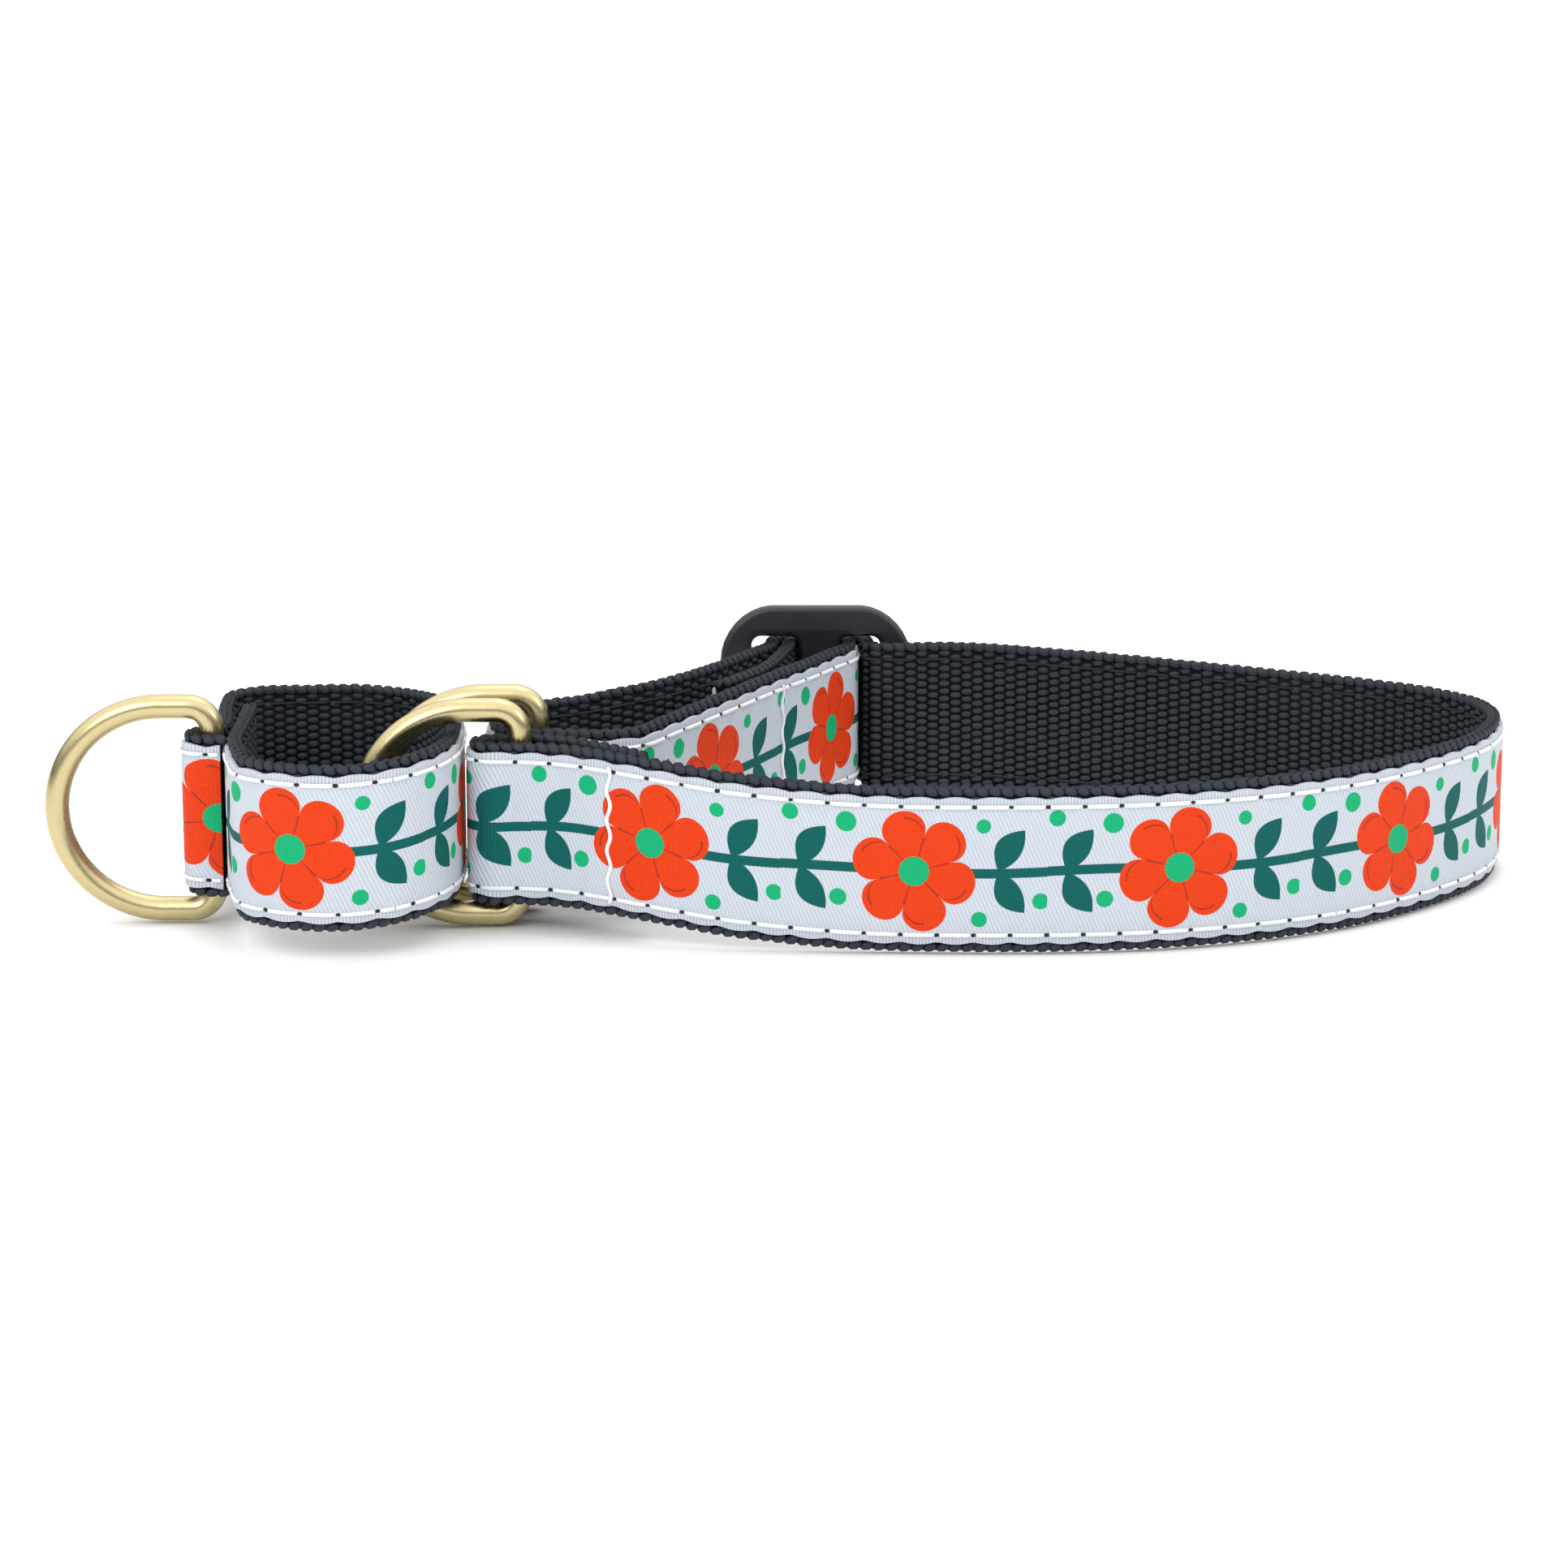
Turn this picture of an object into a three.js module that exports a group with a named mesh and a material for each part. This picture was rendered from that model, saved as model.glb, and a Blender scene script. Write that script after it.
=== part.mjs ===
// A martingale dog collar standing on the edges of its webbing: three.js, millimetres, +Z up.
// The wearer's neck goes through the large loop. The small control loop runs through both slip rings.
import * as THREE from 'three';

// Webbing, the ribbon sewn on its outer face, and the thread that holds them together
const WEB_WIDTH = 25.4;
const WEB_THICKNESS = 2.0;
const RIBBON_WIDTH = 22.2;
const RIBBON_THICKNESS = 0.45;
const THREAD_WIDTH = 0.5;
const THREAD_THICKNESS = 0.3;
const STITCH_INSET = 1.2; // from the ribbon's edge to the middle of a stitch row
const TACK_WIDTH = 1.8;
const TACK_MARGIN = 1.0; // from the ribbon's edge to the end of a tack

// Clearances
const SEWN_GAP = 0.12; // between layers that are sewn together
const TOUCH_GAP = 0.3; // between webbing and hardware, or between two strands
const SPLIT_GAP = 0.3; // between two stretches of one strap
const SLOT_PLAY = 1.2; // webbing width to slot height

// D-rings of round wire, all three alike
const WIRE = 3.8;
const RING_DEPTH = 28.0;
const RING_PLAY = 2.8; // webbing width to the height inside the ring
const RING_CORNER = 3.6;
const RING_FLAT = 7.8; // from the straight bar to where the round end begins

// Tri-glide slider
const SLIDER_BAR = 3.0; // thickness of its plate
const SIDE_BAR = 5.3;
const CENTRE_BAR = 6.9;
const SLIDER_FRAME = 5.4; // above and below the slots
const SLIDER_CORNER = 8.5;
const SLOT_CORNER = 1.6;
const SLOT_SLACK = { right: 0.8, left: 2.0 }; // left in a slot beside its two strands
const SLIDER_CROWN = 1.3; // how much the long edges bow outwards
const SLIDER_BEVEL = 0.5;

// Overall sizes of the two loops, measured on the webbing's centreline from the front ring's bar
const NECK_LENGTH = 156.1;
const NECK_DEPTH = 78.4;
const LOOP_LENGTH = 38.2; // from the wall inside the slip rings towards the leash ring
const LEASH_PULL = 2.6; // how far the leash ring's bar draws the loop out beyond that
const LOOP_DEPTH = 62.0;
const LOOP_FRONT = 20.7; // how far the control loop reaches in front of the bar
const LOOP_SAG = 0.9; // how much lower the loop's long sides hang than the wall in the rings
const LEASH_BAR_BACK = 2.7;
const SLIDER_BACK = 72.4; // the slider's plate
const SLIDER_ALONG = 46.6; // the middle of the slider's centre bar
const REAR_BAR_BACK = 10.9;
const WALL_REACH = 13.66; // from the rear ring's bar to the inner face of the loop's wall
const FRONT_FOLD_SLACK = 3.8; // room left of the bar inside the front fold

const HALF_WEB = WEB_THICKNESS / 2;
const RIBBON_FACE = HALF_WEB + SEWN_GAP + RIBBON_THICKNESS; // centreline to the ribbon's outer face
const HALF_WIRE = WIRE / 2;
const RING_HEIGHT = WEB_WIDTH + RING_PLAY + 2 * WIRE;
const RING_LIFT = WIRE + TOUCH_GAP; // webbing resting on a ring's lower arm
const LOOP_LIFT = (RING_HEIGHT - WEB_WIDTH) / 2; // webbing centred in the rings
const SLIDER_LIFT = SLIDER_FRAME + SLOT_PLAY / 2;
const SLIDER_HEIGHT = WEB_WIDTH + SLOT_PLAY + 2 * SLIDER_FRAME;
const BAR_WRAP = HALF_WIRE + TOUCH_GAP + HALF_WEB; // ring bar's axis to webbing wrapped on it
const THREAD_FACE = RIBBON_FACE + SEWN_GAP + THREAD_THICKNESS;
const FRONT_FOLD = HALF_WIRE + FRONT_FOLD_SLACK + HALF_WEB; // the bar to the end of the front fold
const LOOP_IN_RING = FRONT_FOLD + RIBBON_FACE + TOUCH_GAP + THREAD_FACE; // the bar to the loop's wall
const REAR_BAR_ALONG = WALL_REACH - HALF_WEB - LOOP_IN_RING;

// The slots hold two strands: the inner one wraps the centre bar, and the outer one passes outside it.
const STRAND_STEP = RIBBON_FACE + TOUCH_GAP + HALF_WEB;
const INNER_BACK = SLIDER_BAR / 2 + TOUCH_GAP + HALF_WEB;
const OUTER_BACK = INNER_BACK + STRAND_STEP + 0.2;
const SIDE_FRONT = SLIDER_BAR / 2 + TOUCH_GAP + RIBBON_FACE; // the ribbon's side against a side bar
const INNER_SIDE = CENTRE_BAR / 2 + TOUCH_GAP + HALF_WEB;
const OUTER_SIDE = INNER_SIDE + STRAND_STEP;
const SLOT_STRANDS = OUTER_SIDE + RIBBON_FACE + TOUCH_GAP - CENTRE_BAR / 2;
const RIGHT_SLOT = SLOT_STRANDS + SLOT_SLACK.right;
const LEFT_SLOT = SLOT_STRANDS + SLOT_SLACK.left;
const RIGHT_EDGE = CENTRE_BAR / 2 + RIGHT_SLOT; // centre bar's middle to the right side bar

const point = (x, y, z) => new THREE.Vector3(x, y, z);

// Places that the straps are drawn from, with the front ring's bar at the origin
const slider = { x: SLIDER_ALONG, y: SLIDER_BACK };
const rearBar = { x: REAR_BAR_ALONG, y: REAR_BAR_BACK };
const pinchWall = HALF_WIRE + TOUCH_GAP + RIBBON_FACE; // leash bar's axis to the loop wall beside it
const leashBar = { x: -LOOP_IN_RING - LOOP_LENGTH - LEASH_PULL + pinchWall, y: LEASH_BAR_BACK };

const neck = (along, back, lift) => point(along * NECK_LENGTH, back * NECK_DEPTH, lift);
const atFrontBar = (x, y, lift = RING_LIFT) => point(x, y, lift);
const atRearBar = (x, y) => point(rearBar.x + x, rearBar.y + y, RING_LIFT);
const atSlider = (x, y, lift = SLIDER_LIFT) => point(slider.x + x, slider.y + y, lift);

// The main strap's route, on the webbing's centreline, from its hidden end to its tail.
// Each stretch ends where the next one starts. Heights are those of the webbing's lower edge.
const mainStretches = {
  front: [
    atFrontBar(19.4, -BAR_WRAP - 2.7, RING_LIFT - 0.9),
    atFrontBar(12.5, -0.6, RING_LIFT - 0.5),
    atFrontBar(5.5, BAR_WRAP - 0.9),
    atFrontBar(0, BAR_WRAP),
    atFrontBar(-BAR_WRAP - 1.2, BAR_WRAP - 0.2),
    atFrontBar(-FRONT_FOLD + 0.5, 1.7),
    atFrontBar(-FRONT_FOLD, 0),
    atFrontBar(-FRONT_FOLD + 0.5, -1.7),
    atFrontBar(-BAR_WRAP - 1.2, -BAR_WRAP + 0.2),
    atFrontBar(0, -BAR_WRAP),
    neck(0.045, -0.058, RING_LIFT - 0.1),
    neck(0.088, -0.096, RING_LIFT - 0.4),
    neck(0.16, -0.152, 2.6),
    neck(0.209, -0.176, 1.7),
    neck(0.302, -0.197, 0.5),
    neck(0.388, -0.205, 0),
    neck(0.478, -0.208, 0),
    neck(0.568, -0.198, 0),
    neck(0.645, -0.17, 0),
    neck(0.722, -0.118, 0),
  ],
  rightEnd: [
    neck(0.799, -0.037, 0),
    neck(0.863, 0.064, 0),
    neck(0.921, 0.186, 0),
    neck(0.968, 0.32, 0),
    neck(0.995, 0.466, 0),
    neck(1, 0.56, 0),
    neck(0.987, 0.676, 0),
    neck(0.953, 0.769, 0),
    neck(0.907, 0.844, 0),
    neck(0.849, 0.907, 0.1),
    neck(0.785, 0.949, 0.5),
  ],
  back: [
    neck(0.709, 0.964, 1.5),
    neck(0.626, 0.953, 2.9),
    atSlider(38.5, 0.2, 4.4),
    atSlider(28.5, -1.7, 5.5),
  ],
  sliderPass: [
    atSlider(21.5, -SIDE_FRONT + 0.4),
    atSlider(15.5, -SIDE_FRONT - 0.1),
    atSlider(RIGHT_EDGE + 0.6, -SIDE_FRONT - 0.1),
    atSlider(RIGHT_EDGE - 1.4, -SIDE_FRONT + 0.5),
    atSlider(RIGHT_EDGE - RIBBON_FACE - TOUCH_GAP - 0.2, -SLIDER_BAR / 2),
    atSlider(OUTER_SIDE + 0.5, SLIDER_BAR / 2),
    atSlider(OUTER_SIDE - 0.5, OUTER_BACK - 1.5),
    atSlider(OUTER_SIDE - 3.4, OUTER_BACK),
    atSlider(0, OUTER_BACK),
    atSlider(-OUTER_SIDE + 3.8, OUTER_BACK),
    atSlider(-OUTER_SIDE + 0.7, OUTER_BACK - 1.5),
    atSlider(-OUTER_SIDE - 0.4, SLIDER_BAR / 2),
    atSlider(-OUTER_SIDE - 0.5, -SLIDER_BAR / 2 + 0.2),
    atSlider(-OUTER_SIDE - 1.5, -4.4),
    atSlider(-11.5, -9.4),
  ],
  adjusting: [
    atSlider(-14.5, -16),
    atSlider(-17.9, -22.8),
    atSlider(-22, -29, 5.9),
    atSlider(-27, -33.4, 5.4),
    atSlider(-33, -36.6, 4.8),
    atRearBar(5.5, 22.2),
  ],
  rearFold: [
    atRearBar(0.5, 18.9),
    atRearBar(-3.8, 14),
    atRearBar(-6.4, 8),
    atRearBar(-6.4, 2.2),
    atRearBar(-4.2, -2),
    atRearBar(0, -BAR_WRAP - 0.1),
    atRearBar(5.5, -BAR_WRAP - 0.9),
    atRearBar(11, -BAR_WRAP - 1.3),
  ],
  returning: [
    atRearBar(15.6, -2.4),
    atSlider(-24.6, -57.2, 4.5),
    atSlider(-20, -49.5, 4.9),
    atSlider(-15, -41.3, 5.4),
  ],
  sliderWrap: [
    atSlider(-10.3, -33.2, 5.8),
    atSlider(-6, -25.5),
    atSlider(-2, -17.7),
    atSlider(1.5, -9.9),
    atSlider(INNER_SIDE - 0.1, -3.2),
    atSlider(INNER_SIDE + 0.1, SLIDER_BAR / 2),
    atSlider(INNER_SIDE - 1.1, INNER_BACK - 0.2),
    atSlider(INNER_SIDE - 2.8, INNER_BACK + 0.1),
    atSlider(-INNER_SIDE + 2.8, INNER_BACK + 0.1),
    atSlider(-INNER_SIDE + 1.1, INNER_BACK - 0.2),
    atSlider(-INNER_SIDE - 0.1, SLIDER_BAR / 2),
    atSlider(-INNER_SIDE - 0.6, -3.6),
    atSlider(-6.7, -11.5),
    atSlider(-8, -18),
    atSlider(-10, -24.5),
    atSlider(-13.3, -31.3),
    atSlider(-16.3, -36.4),
  ],
};

// The control loop's route, from its inner end, round the loop and the leash ring's bar, to the pinch
const loopAt = (along, back, lift) =>
  point(-LOOP_IN_RING - along * LOOP_LENGTH, back * LOOP_DEPTH - LOOP_FRONT, lift);
const low = LOOP_LIFT - LOOP_SAG;
const middling = LOOP_LIFT - LOOP_SAG / 2;
const atLeashBar = (x, y) => point(leashBar.x + x, leashBar.y + y, middling);
const loopStretches = {
  innerWall: [
    atLeashBar(pinchWall - 0.4, 21.4),
    atLeashBar(pinchWall - 0.1, 14),
    atLeashBar(pinchWall, 6),
    atLeashBar(pinchWall + 0.1, -3),
  ],
  frontSide: [
    atLeashBar(pinchWall + 1.4, -10.6),
    loopAt(0.78, 0.105, low),
    loopAt(0.61, 0.022, low),
    loopAt(0.4, 0, low),
  ],
  ringWall: [
    loopAt(0.21, 0.035, middling),
    loopAt(0.075, 0.125, LOOP_LIFT),
    loopAt(0.01, 0.26, LOOP_LIFT),
    loopAt(0, 0.45, LOOP_LIFT),
    loopAt(0.04, 0.66, LOOP_LIFT),
    loopAt(0.14, 0.84, middling),
  ],
  backSide: [
    loopAt(0.29, 0.955, low),
    loopAt(0.47, 1, low),
    loopAt(0.68, 0.99, low),
    loopAt(0.88, 0.935, middling),
  ],
  outerWall: [
    atLeashBar(-0.2, 31),
    atLeashBar(-0.5, 23),
    atLeashBar(0.3, 14.5),
  ],
  ringFold: [
    atLeashBar(pinchWall - STRAND_STEP - 0.1, 9),
    atLeashBar(0.2, BAR_WRAP + 0.9),
    atLeashBar(-BAR_WRAP * 0.75, BAR_WRAP * 0.75),
    atLeashBar(-BAR_WRAP, 0),
    atLeashBar(-BAR_WRAP * 0.75, -BAR_WRAP * 0.75),
    atLeashBar(-0.4, -BAR_WRAP - 0.2),
    atLeashBar(pinchWall - RIBBON_FACE - TOUCH_GAP, -BAR_WRAP - 0.4),
  ],
};

// One smooth curve through all of a strap's stretches, with the share of it where each one starts
function layRoute(stretches) {
  const points = Object.values(stretches).flat();
  const curve = new THREE.CatmullRomCurve3(points, false, 'centripetal');
  const last = points.length - 1;
  const spans = {};
  let start = 0;
  for (const [name, own] of Object.entries(stretches)) {
    const end = Math.min(start + own.length, last);
    spans[name] = [start / last, end / last];
    start = end;
  }
  return { curve, spans };
}

// Stations along a span of a route: a new one at each turn of the strap, or after a long straight
function stationsAlong(route, from, to) {
  const FINE_STEPS = 1500;
  const MOST_TURN = THREE.MathUtils.degToRad(9);
  const MOST_STEP = 7;
  const stations = [];
  let kept = null;
  for (let i = 0; i <= FINE_STEPS; i += 1) {
    const share = from + ((to - from) * i) / FINE_STEPS;
    const place = route.curve.getPoint(share);
    const heading = route.curve.getTangent(share).setZ(0).normalize();
    const turned = kept ? heading.angleTo(kept.heading) : 0;
    const gone = kept ? place.distanceTo(kept.place) : 0;
    if (!kept || i === FINE_STEPS || turned > MOST_TURN || gone > MOST_STEP) {
      kept = { place, heading };
      stations.push(kept);
    }
  }
  return stations;
}

// A flat band stood on edge along the route. The offset is to the right of the way that the route runs,
// which is a strap's outer side, from the webbing's centreline to the middle of the band.
function bandGeometry(route, from, to, { offset, thickness, bottom, height }) {
  const stations = stationsAlong(route, from, to);
  const sides = [offset - thickness / 2, offset + thickness / 2];
  const positions = [];
  for (const { place, heading } of stations) {
    for (const [side, rise] of [[0, 0], [1, 0], [1, 1], [0, 1]]) {
      positions.push(
        place.x + heading.y * sides[side],
        place.y - heading.x * sides[side],
        Math.max(place.z, 0) + bottom + rise * height,
      );
    }
  }
  const faces = [0, 1, 2, 0, 2, 3];
  for (let i = 0; i < stations.length - 1; i += 1) {
    for (let edge = 0; edge < 4; edge += 1) {
      const a = 4 * i + edge;
      const b = 4 * i + ((edge + 1) % 4);
      faces.push(a, a + 4, b + 4, a, b + 4, b);
    }
  }
  const end = 4 * (stations.length - 1);
  faces.push(end, end + 2, end + 1, end, end + 3, end + 2);
  const geometry = new THREE.BufferGeometry();
  geometry.setAttribute('position', new THREE.Float32BufferAttribute(positions, 3));
  geometry.setIndex(faces);
  return geometry;
}

// A closed D of round wire, its straight bar on the Z axis and its round end towards -X
function ringGeometry() {
  const depth = RING_DEPTH - WIRE;
  const half = (RING_HEIGHT - WIRE) / 2;
  const reach = depth - RING_FLAT;
  const outline = [];
  for (let i = 0; i <= 4; i += 1) {
    const turn = (i / 4) * (Math.PI / 2);
    outline.push([RING_CORNER * (1 - Math.cos(turn)), half - RING_CORNER * (1 - Math.sin(turn))]);
  }
  for (let i = 0; i < 10; i += 1) {
    const turn = (i / 10) * (Math.PI / 2);
    outline.push([RING_FLAT + reach * Math.sin(turn), half * Math.cos(turn)]);
  }
  const lower = outline.map(([u, v]) => [u, -v]).reverse();
  const points = [...outline, [depth, 0], ...lower].map(([u, v]) => point(-u, 0, v));
  const curve = new THREE.CatmullRomCurve3(points, true, 'centripetal');
  const geometry = new THREE.TubeGeometry(curve, 72, HALF_WIRE, 12, true);
  geometry.computeBoundingBox();
  return geometry.translate(0, 0, -geometry.boundingBox.min.z);
}

// The slider's plate stood up: a bowed rounded outline with two slots either side of the centre bar
function sliderGeometry() {
  const left = -CENTRE_BAR / 2 - LEFT_SLOT - SIDE_BAR;
  const right = CENTRE_BAR / 2 + RIGHT_SLOT + SIDE_BAR;
  const half = SLIDER_HEIGHT / 2 - SLIDER_BEVEL;
  const shoulder = half - SLIDER_CROWN;
  const l = left + SLIDER_BEVEL;
  const r = right - SLIDER_BEVEL;
  const c = SLIDER_CORNER - SLIDER_BEVEL;
  const middle = (l + r) / 2;
  const plate = new THREE.Shape();
  plate.moveTo(l, -shoulder + c);
  plate.lineTo(l, shoulder - c);
  plate.quadraticCurveTo(l, shoulder - c * 0.1, l + c, shoulder);
  plate.quadraticCurveTo(middle, half + SLIDER_CROWN, r - c, shoulder);
  plate.quadraticCurveTo(r, shoulder - c * 0.1, r, shoulder - c);
  plate.lineTo(r, -shoulder + c);
  plate.quadraticCurveTo(r, -shoulder + c * 0.1, r - c, -shoulder);
  plate.quadraticCurveTo(middle, -half - SLIDER_CROWN, l + c, -shoulder);
  plate.quadraticCurveTo(l, -shoulder + c * 0.1, l, -shoulder + c);
  plate.holes.push(slotOutline(-CENTRE_BAR / 2 - LEFT_SLOT, LEFT_SLOT));
  plate.holes.push(slotOutline(CENTRE_BAR / 2, RIGHT_SLOT));
  const geometry = new THREE.ExtrudeGeometry(plate, {
    depth: SLIDER_BAR - 2 * SLIDER_BEVEL,
    bevelSize: SLIDER_BEVEL,
    bevelThickness: SLIDER_BEVEL,
    bevelSegments: 2,
    curveSegments: 7,
  });
  return geometry.translate(0, 0, -SLIDER_BAR / 2 + SLIDER_BEVEL);
}

// One slot, drawn larger by the bevel that grows into it
function slotOutline(start, width) {
  const x0 = start - SLIDER_BEVEL;
  const x1 = start + width + SLIDER_BEVEL;
  const top = (WEB_WIDTH + SLOT_PLAY) / 2 + SLIDER_BEVEL;
  const c = SLOT_CORNER + SLIDER_BEVEL;
  const slot = new THREE.Path();
  slot.moveTo(x0, -top + c);
  slot.absarc(x0 + c, -top + c, c, Math.PI, 1.5 * Math.PI);
  slot.absarc(x1 - c, -top + c, c, 1.5 * Math.PI, 2 * Math.PI);
  slot.absarc(x1 - c, top - c, c, 0, 0.5 * Math.PI);
  slot.absarc(x0 + c, top - c, c, 0.5 * Math.PI, Math.PI);
  return slot;
}

const materials = {
  webbing: () => new THREE.MeshStandardMaterial({ color: 0x26282e, roughness: 0.85, metalness: 0 }),
  ribbon: () => new THREE.MeshStandardMaterial({ color: 0xcdd4de, roughness: 0.6, metalness: 0 }),
  thread: () => new THREE.MeshStandardMaterial({ color: 0xf4f4f2, roughness: 0.7, metalness: 0 }),
  brass: () => new THREE.MeshStandardMaterial({ color: 0xbeaf6e, roughness: 0.35, metalness: 1 }),
  moulding: () => new THREE.MeshStandardMaterial({ color: 0x26262e, roughness: 0.5, metalness: 0 }),
};

const collar = new THREE.Group();

function addPiece(name, geometry, material) {
  const mesh = new THREE.Mesh(geometry, materials[material]());
  mesh.name = name;
  collar.add(mesh);
  return mesh;
}

// The layers of a strap, by their place across it
const ribbonBottom = (WEB_WIDTH - RIBBON_WIDTH) / 2;
const layers = {
  webbing: { offset: 0, thickness: WEB_THICKNESS, bottom: 0, height: WEB_WIDTH },
  ribbon: {
    offset: RIBBON_FACE - RIBBON_THICKNESS / 2,
    thickness: RIBBON_THICKNESS,
    bottom: ribbonBottom,
    height: RIBBON_WIDTH,
  },
  thread: (bottom, height) => ({
    offset: RIBBON_FACE + SEWN_GAP + THREAD_THICKNESS / 2,
    thickness: THREAD_THICKNESS,
    bottom,
    height,
  }),
};
const stitchRows = {
  lower: ribbonBottom + STITCH_INSET - THREAD_WIDTH / 2,
  upper: WEB_WIDTH - ribbonBottom - STITCH_INSET - THREAD_WIDTH / 2,
};

// Webbing and ribbon over one stretch, and the two stitch rows where there is room for them
function addStrap(route, stretch, name, stitchSpan) {
  const [from, to] = route.spans[stretch];
  const trim = (SPLIT_GAP / 2) / route.curve.getLength();
  addPiece(`${name}_webbing`, bandGeometry(route, from + trim, to - trim, layers.webbing), 'webbing');
  addPiece(`${name}_ribbon`, bandGeometry(route, from + trim, to - trim, layers.ribbon), 'ribbon');
  if (!stitchSpan) return;
  const [first, last] = stitchSpan.map((share) => from + (to - from) * share);
  for (const [row, bottom] of Object.entries(stitchRows)) {
    const thread = layers.thread(bottom, THREAD_WIDTH);
    addPiece(`${name}_${row}_stitching`, bandGeometry(route, first + trim, last - trim, thread), 'thread');
  }
}

// A tack is a row of stitches straight across the ribbon
function addTack(route, stretch, share, name) {
  const [from, to] = route.spans[stretch];
  const middle = from + (to - from) * share;
  const reach = TACK_WIDTH / 2 / route.curve.getLength();
  const bottom = stitchRows.lower + THREAD_WIDTH + TACK_MARGIN;
  const height = stitchRows.upper - TACK_MARGIN - bottom;
  const layer = layers.thread(bottom, height);
  addPiece(name, bandGeometry(route, middle - reach, middle + reach, layer), 'thread');
}

const mainRoute = layRoute(mainStretches);
addStrap(mainRoute, 'front', 'front_run', [0.46, 1]);
addStrap(mainRoute, 'rightEnd', 'right_end', [0, 1]);
addStrap(mainRoute, 'back', 'back_run', [0, 1]);
addStrap(mainRoute, 'sliderPass', 'slider_pass', null);
addStrap(mainRoute, 'adjusting', 'adjusting_run', [0, 1]);
addStrap(mainRoute, 'rearFold', 'rear_fold', null);
addStrap(mainRoute, 'returning', 'return_run', [0, 1]);
addStrap(mainRoute, 'sliderWrap', 'slider_wrap', null);
addTack(mainRoute, 'front', 0.61, 'front_fold_tack');
addTack(mainRoute, 'sliderWrap', 0.06, 'tail_tack');

const loopRoute = layRoute(loopStretches);
addStrap(loopRoute, 'innerWall', 'loop_inner_wall', null);
addStrap(loopRoute, 'frontSide', 'loop_front', [0, 1]);
addStrap(loopRoute, 'ringWall', 'loop_ring_wall', [0, 1]);
addStrap(loopRoute, 'backSide', 'loop_back', [0, 1]);
addStrap(loopRoute, 'outerWall', 'loop_outer_wall', null);
addStrap(loopRoute, 'ringFold', 'leash_fold', null);

addPiece('front_slip_ring', ringGeometry(), 'brass');
addPiece('rear_slip_ring', ringGeometry(), 'brass').position.set(rearBar.x, rearBar.y, 0);
addPiece('leash_ring', ringGeometry(), 'brass').position.set(leashBar.x, leashBar.y, 0);

const plate = addPiece('tri_glide_slider', sliderGeometry(), 'moulding');
plate.rotation.x = Math.PI / 2;
plate.position.set(slider.x, slider.y, SLIDER_HEIGHT / 2);

// The part's origin is under the middle of its box, on the surface that it stands on.
collar.updateMatrixWorld(true);
const box = new THREE.Box3().setFromObject(collar, true);
const centre = box.getCenter(new THREE.Vector3());
collar.position.set(-centre.x, -centre.y, -box.min.z);

export default collar;
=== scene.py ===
import math

import bmesh
import bpy
import numpy as np
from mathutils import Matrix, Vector


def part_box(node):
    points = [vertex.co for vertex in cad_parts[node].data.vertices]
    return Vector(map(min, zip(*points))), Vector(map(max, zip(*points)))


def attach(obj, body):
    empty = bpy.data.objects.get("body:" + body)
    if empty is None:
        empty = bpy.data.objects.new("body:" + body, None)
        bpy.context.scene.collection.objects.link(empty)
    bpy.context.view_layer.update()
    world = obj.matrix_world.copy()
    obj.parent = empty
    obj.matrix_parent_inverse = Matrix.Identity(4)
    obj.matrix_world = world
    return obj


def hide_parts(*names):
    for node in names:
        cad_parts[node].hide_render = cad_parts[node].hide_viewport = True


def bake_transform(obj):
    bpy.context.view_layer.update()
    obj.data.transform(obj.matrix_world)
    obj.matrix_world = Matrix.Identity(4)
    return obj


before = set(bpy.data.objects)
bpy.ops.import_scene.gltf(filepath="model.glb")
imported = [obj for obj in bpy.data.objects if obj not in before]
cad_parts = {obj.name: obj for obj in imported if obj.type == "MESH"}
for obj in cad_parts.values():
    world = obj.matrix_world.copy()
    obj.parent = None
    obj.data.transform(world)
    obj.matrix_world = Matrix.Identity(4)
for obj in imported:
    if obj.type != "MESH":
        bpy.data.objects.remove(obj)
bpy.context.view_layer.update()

# ---- Camera: an ordinary long lens in front of the collar, a little above it and looking down.
camera = bpy.data.objects.new("camera", bpy.data.cameras.new("camera"))
bpy.context.scene.collection.objects.link(camera)
bpy.context.scene.camera = camera
camera.data.sensor_width = 36
camera.data.lens = 102.05
ring_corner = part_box("front_slip_ring")[1]
camera.location = (ring_corner.x + 0.0387, ring_corner.y - 0.6696, 0.1703)
camera.rotation_euler = (math.radians(90 - 12.5), 0, 0)
bpy.context.scene.view_settings.view_transform = "Standard"

# ---- How the straps lie: each is one length of webbing stood on its edge and bent round the rings and
# the slider. A route is the line along the middle of the webbing, in mm from the front ring's bar.
# Each stretch of it ends where the next one starts.
WEB_WIDTH = 25.4
WEB_THICKNESS = 2.0
RIBBON_WIDTH = 22.2
RIBBON_THICKNESS = 0.45
STITCH_INSET = 1.2  # from the ribbon's edge to a stitch row
STITCH_PITCH = 5.5
SEWN_GAP = 0.12
TOUCH_GAP = 0.3
SLOT_PLAY = 1.2
WIRE = 3.8
RING_PLAY = 2.8
SLIDER_BAR = 3.0
CENTRE_BAR = 6.9
SLIDER_FRAME = 5.4
NECK_LENGTH = 156.1
NECK_DEPTH = 78.4
LOOP_LENGTH = 38.2
LEASH_PULL = 2.6
LOOP_DEPTH = 62.0
LOOP_FRONT = 20.7
LOOP_SAG = 0.9
LEASH_BAR_BACK = 2.7
SLIDER_BACK = 72.4
SLIDER_ALONG = 46.6
REAR_BAR_BACK = 10.9
WALL_REACH = 13.66
FRONT_FOLD_SLACK = 3.8
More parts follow.
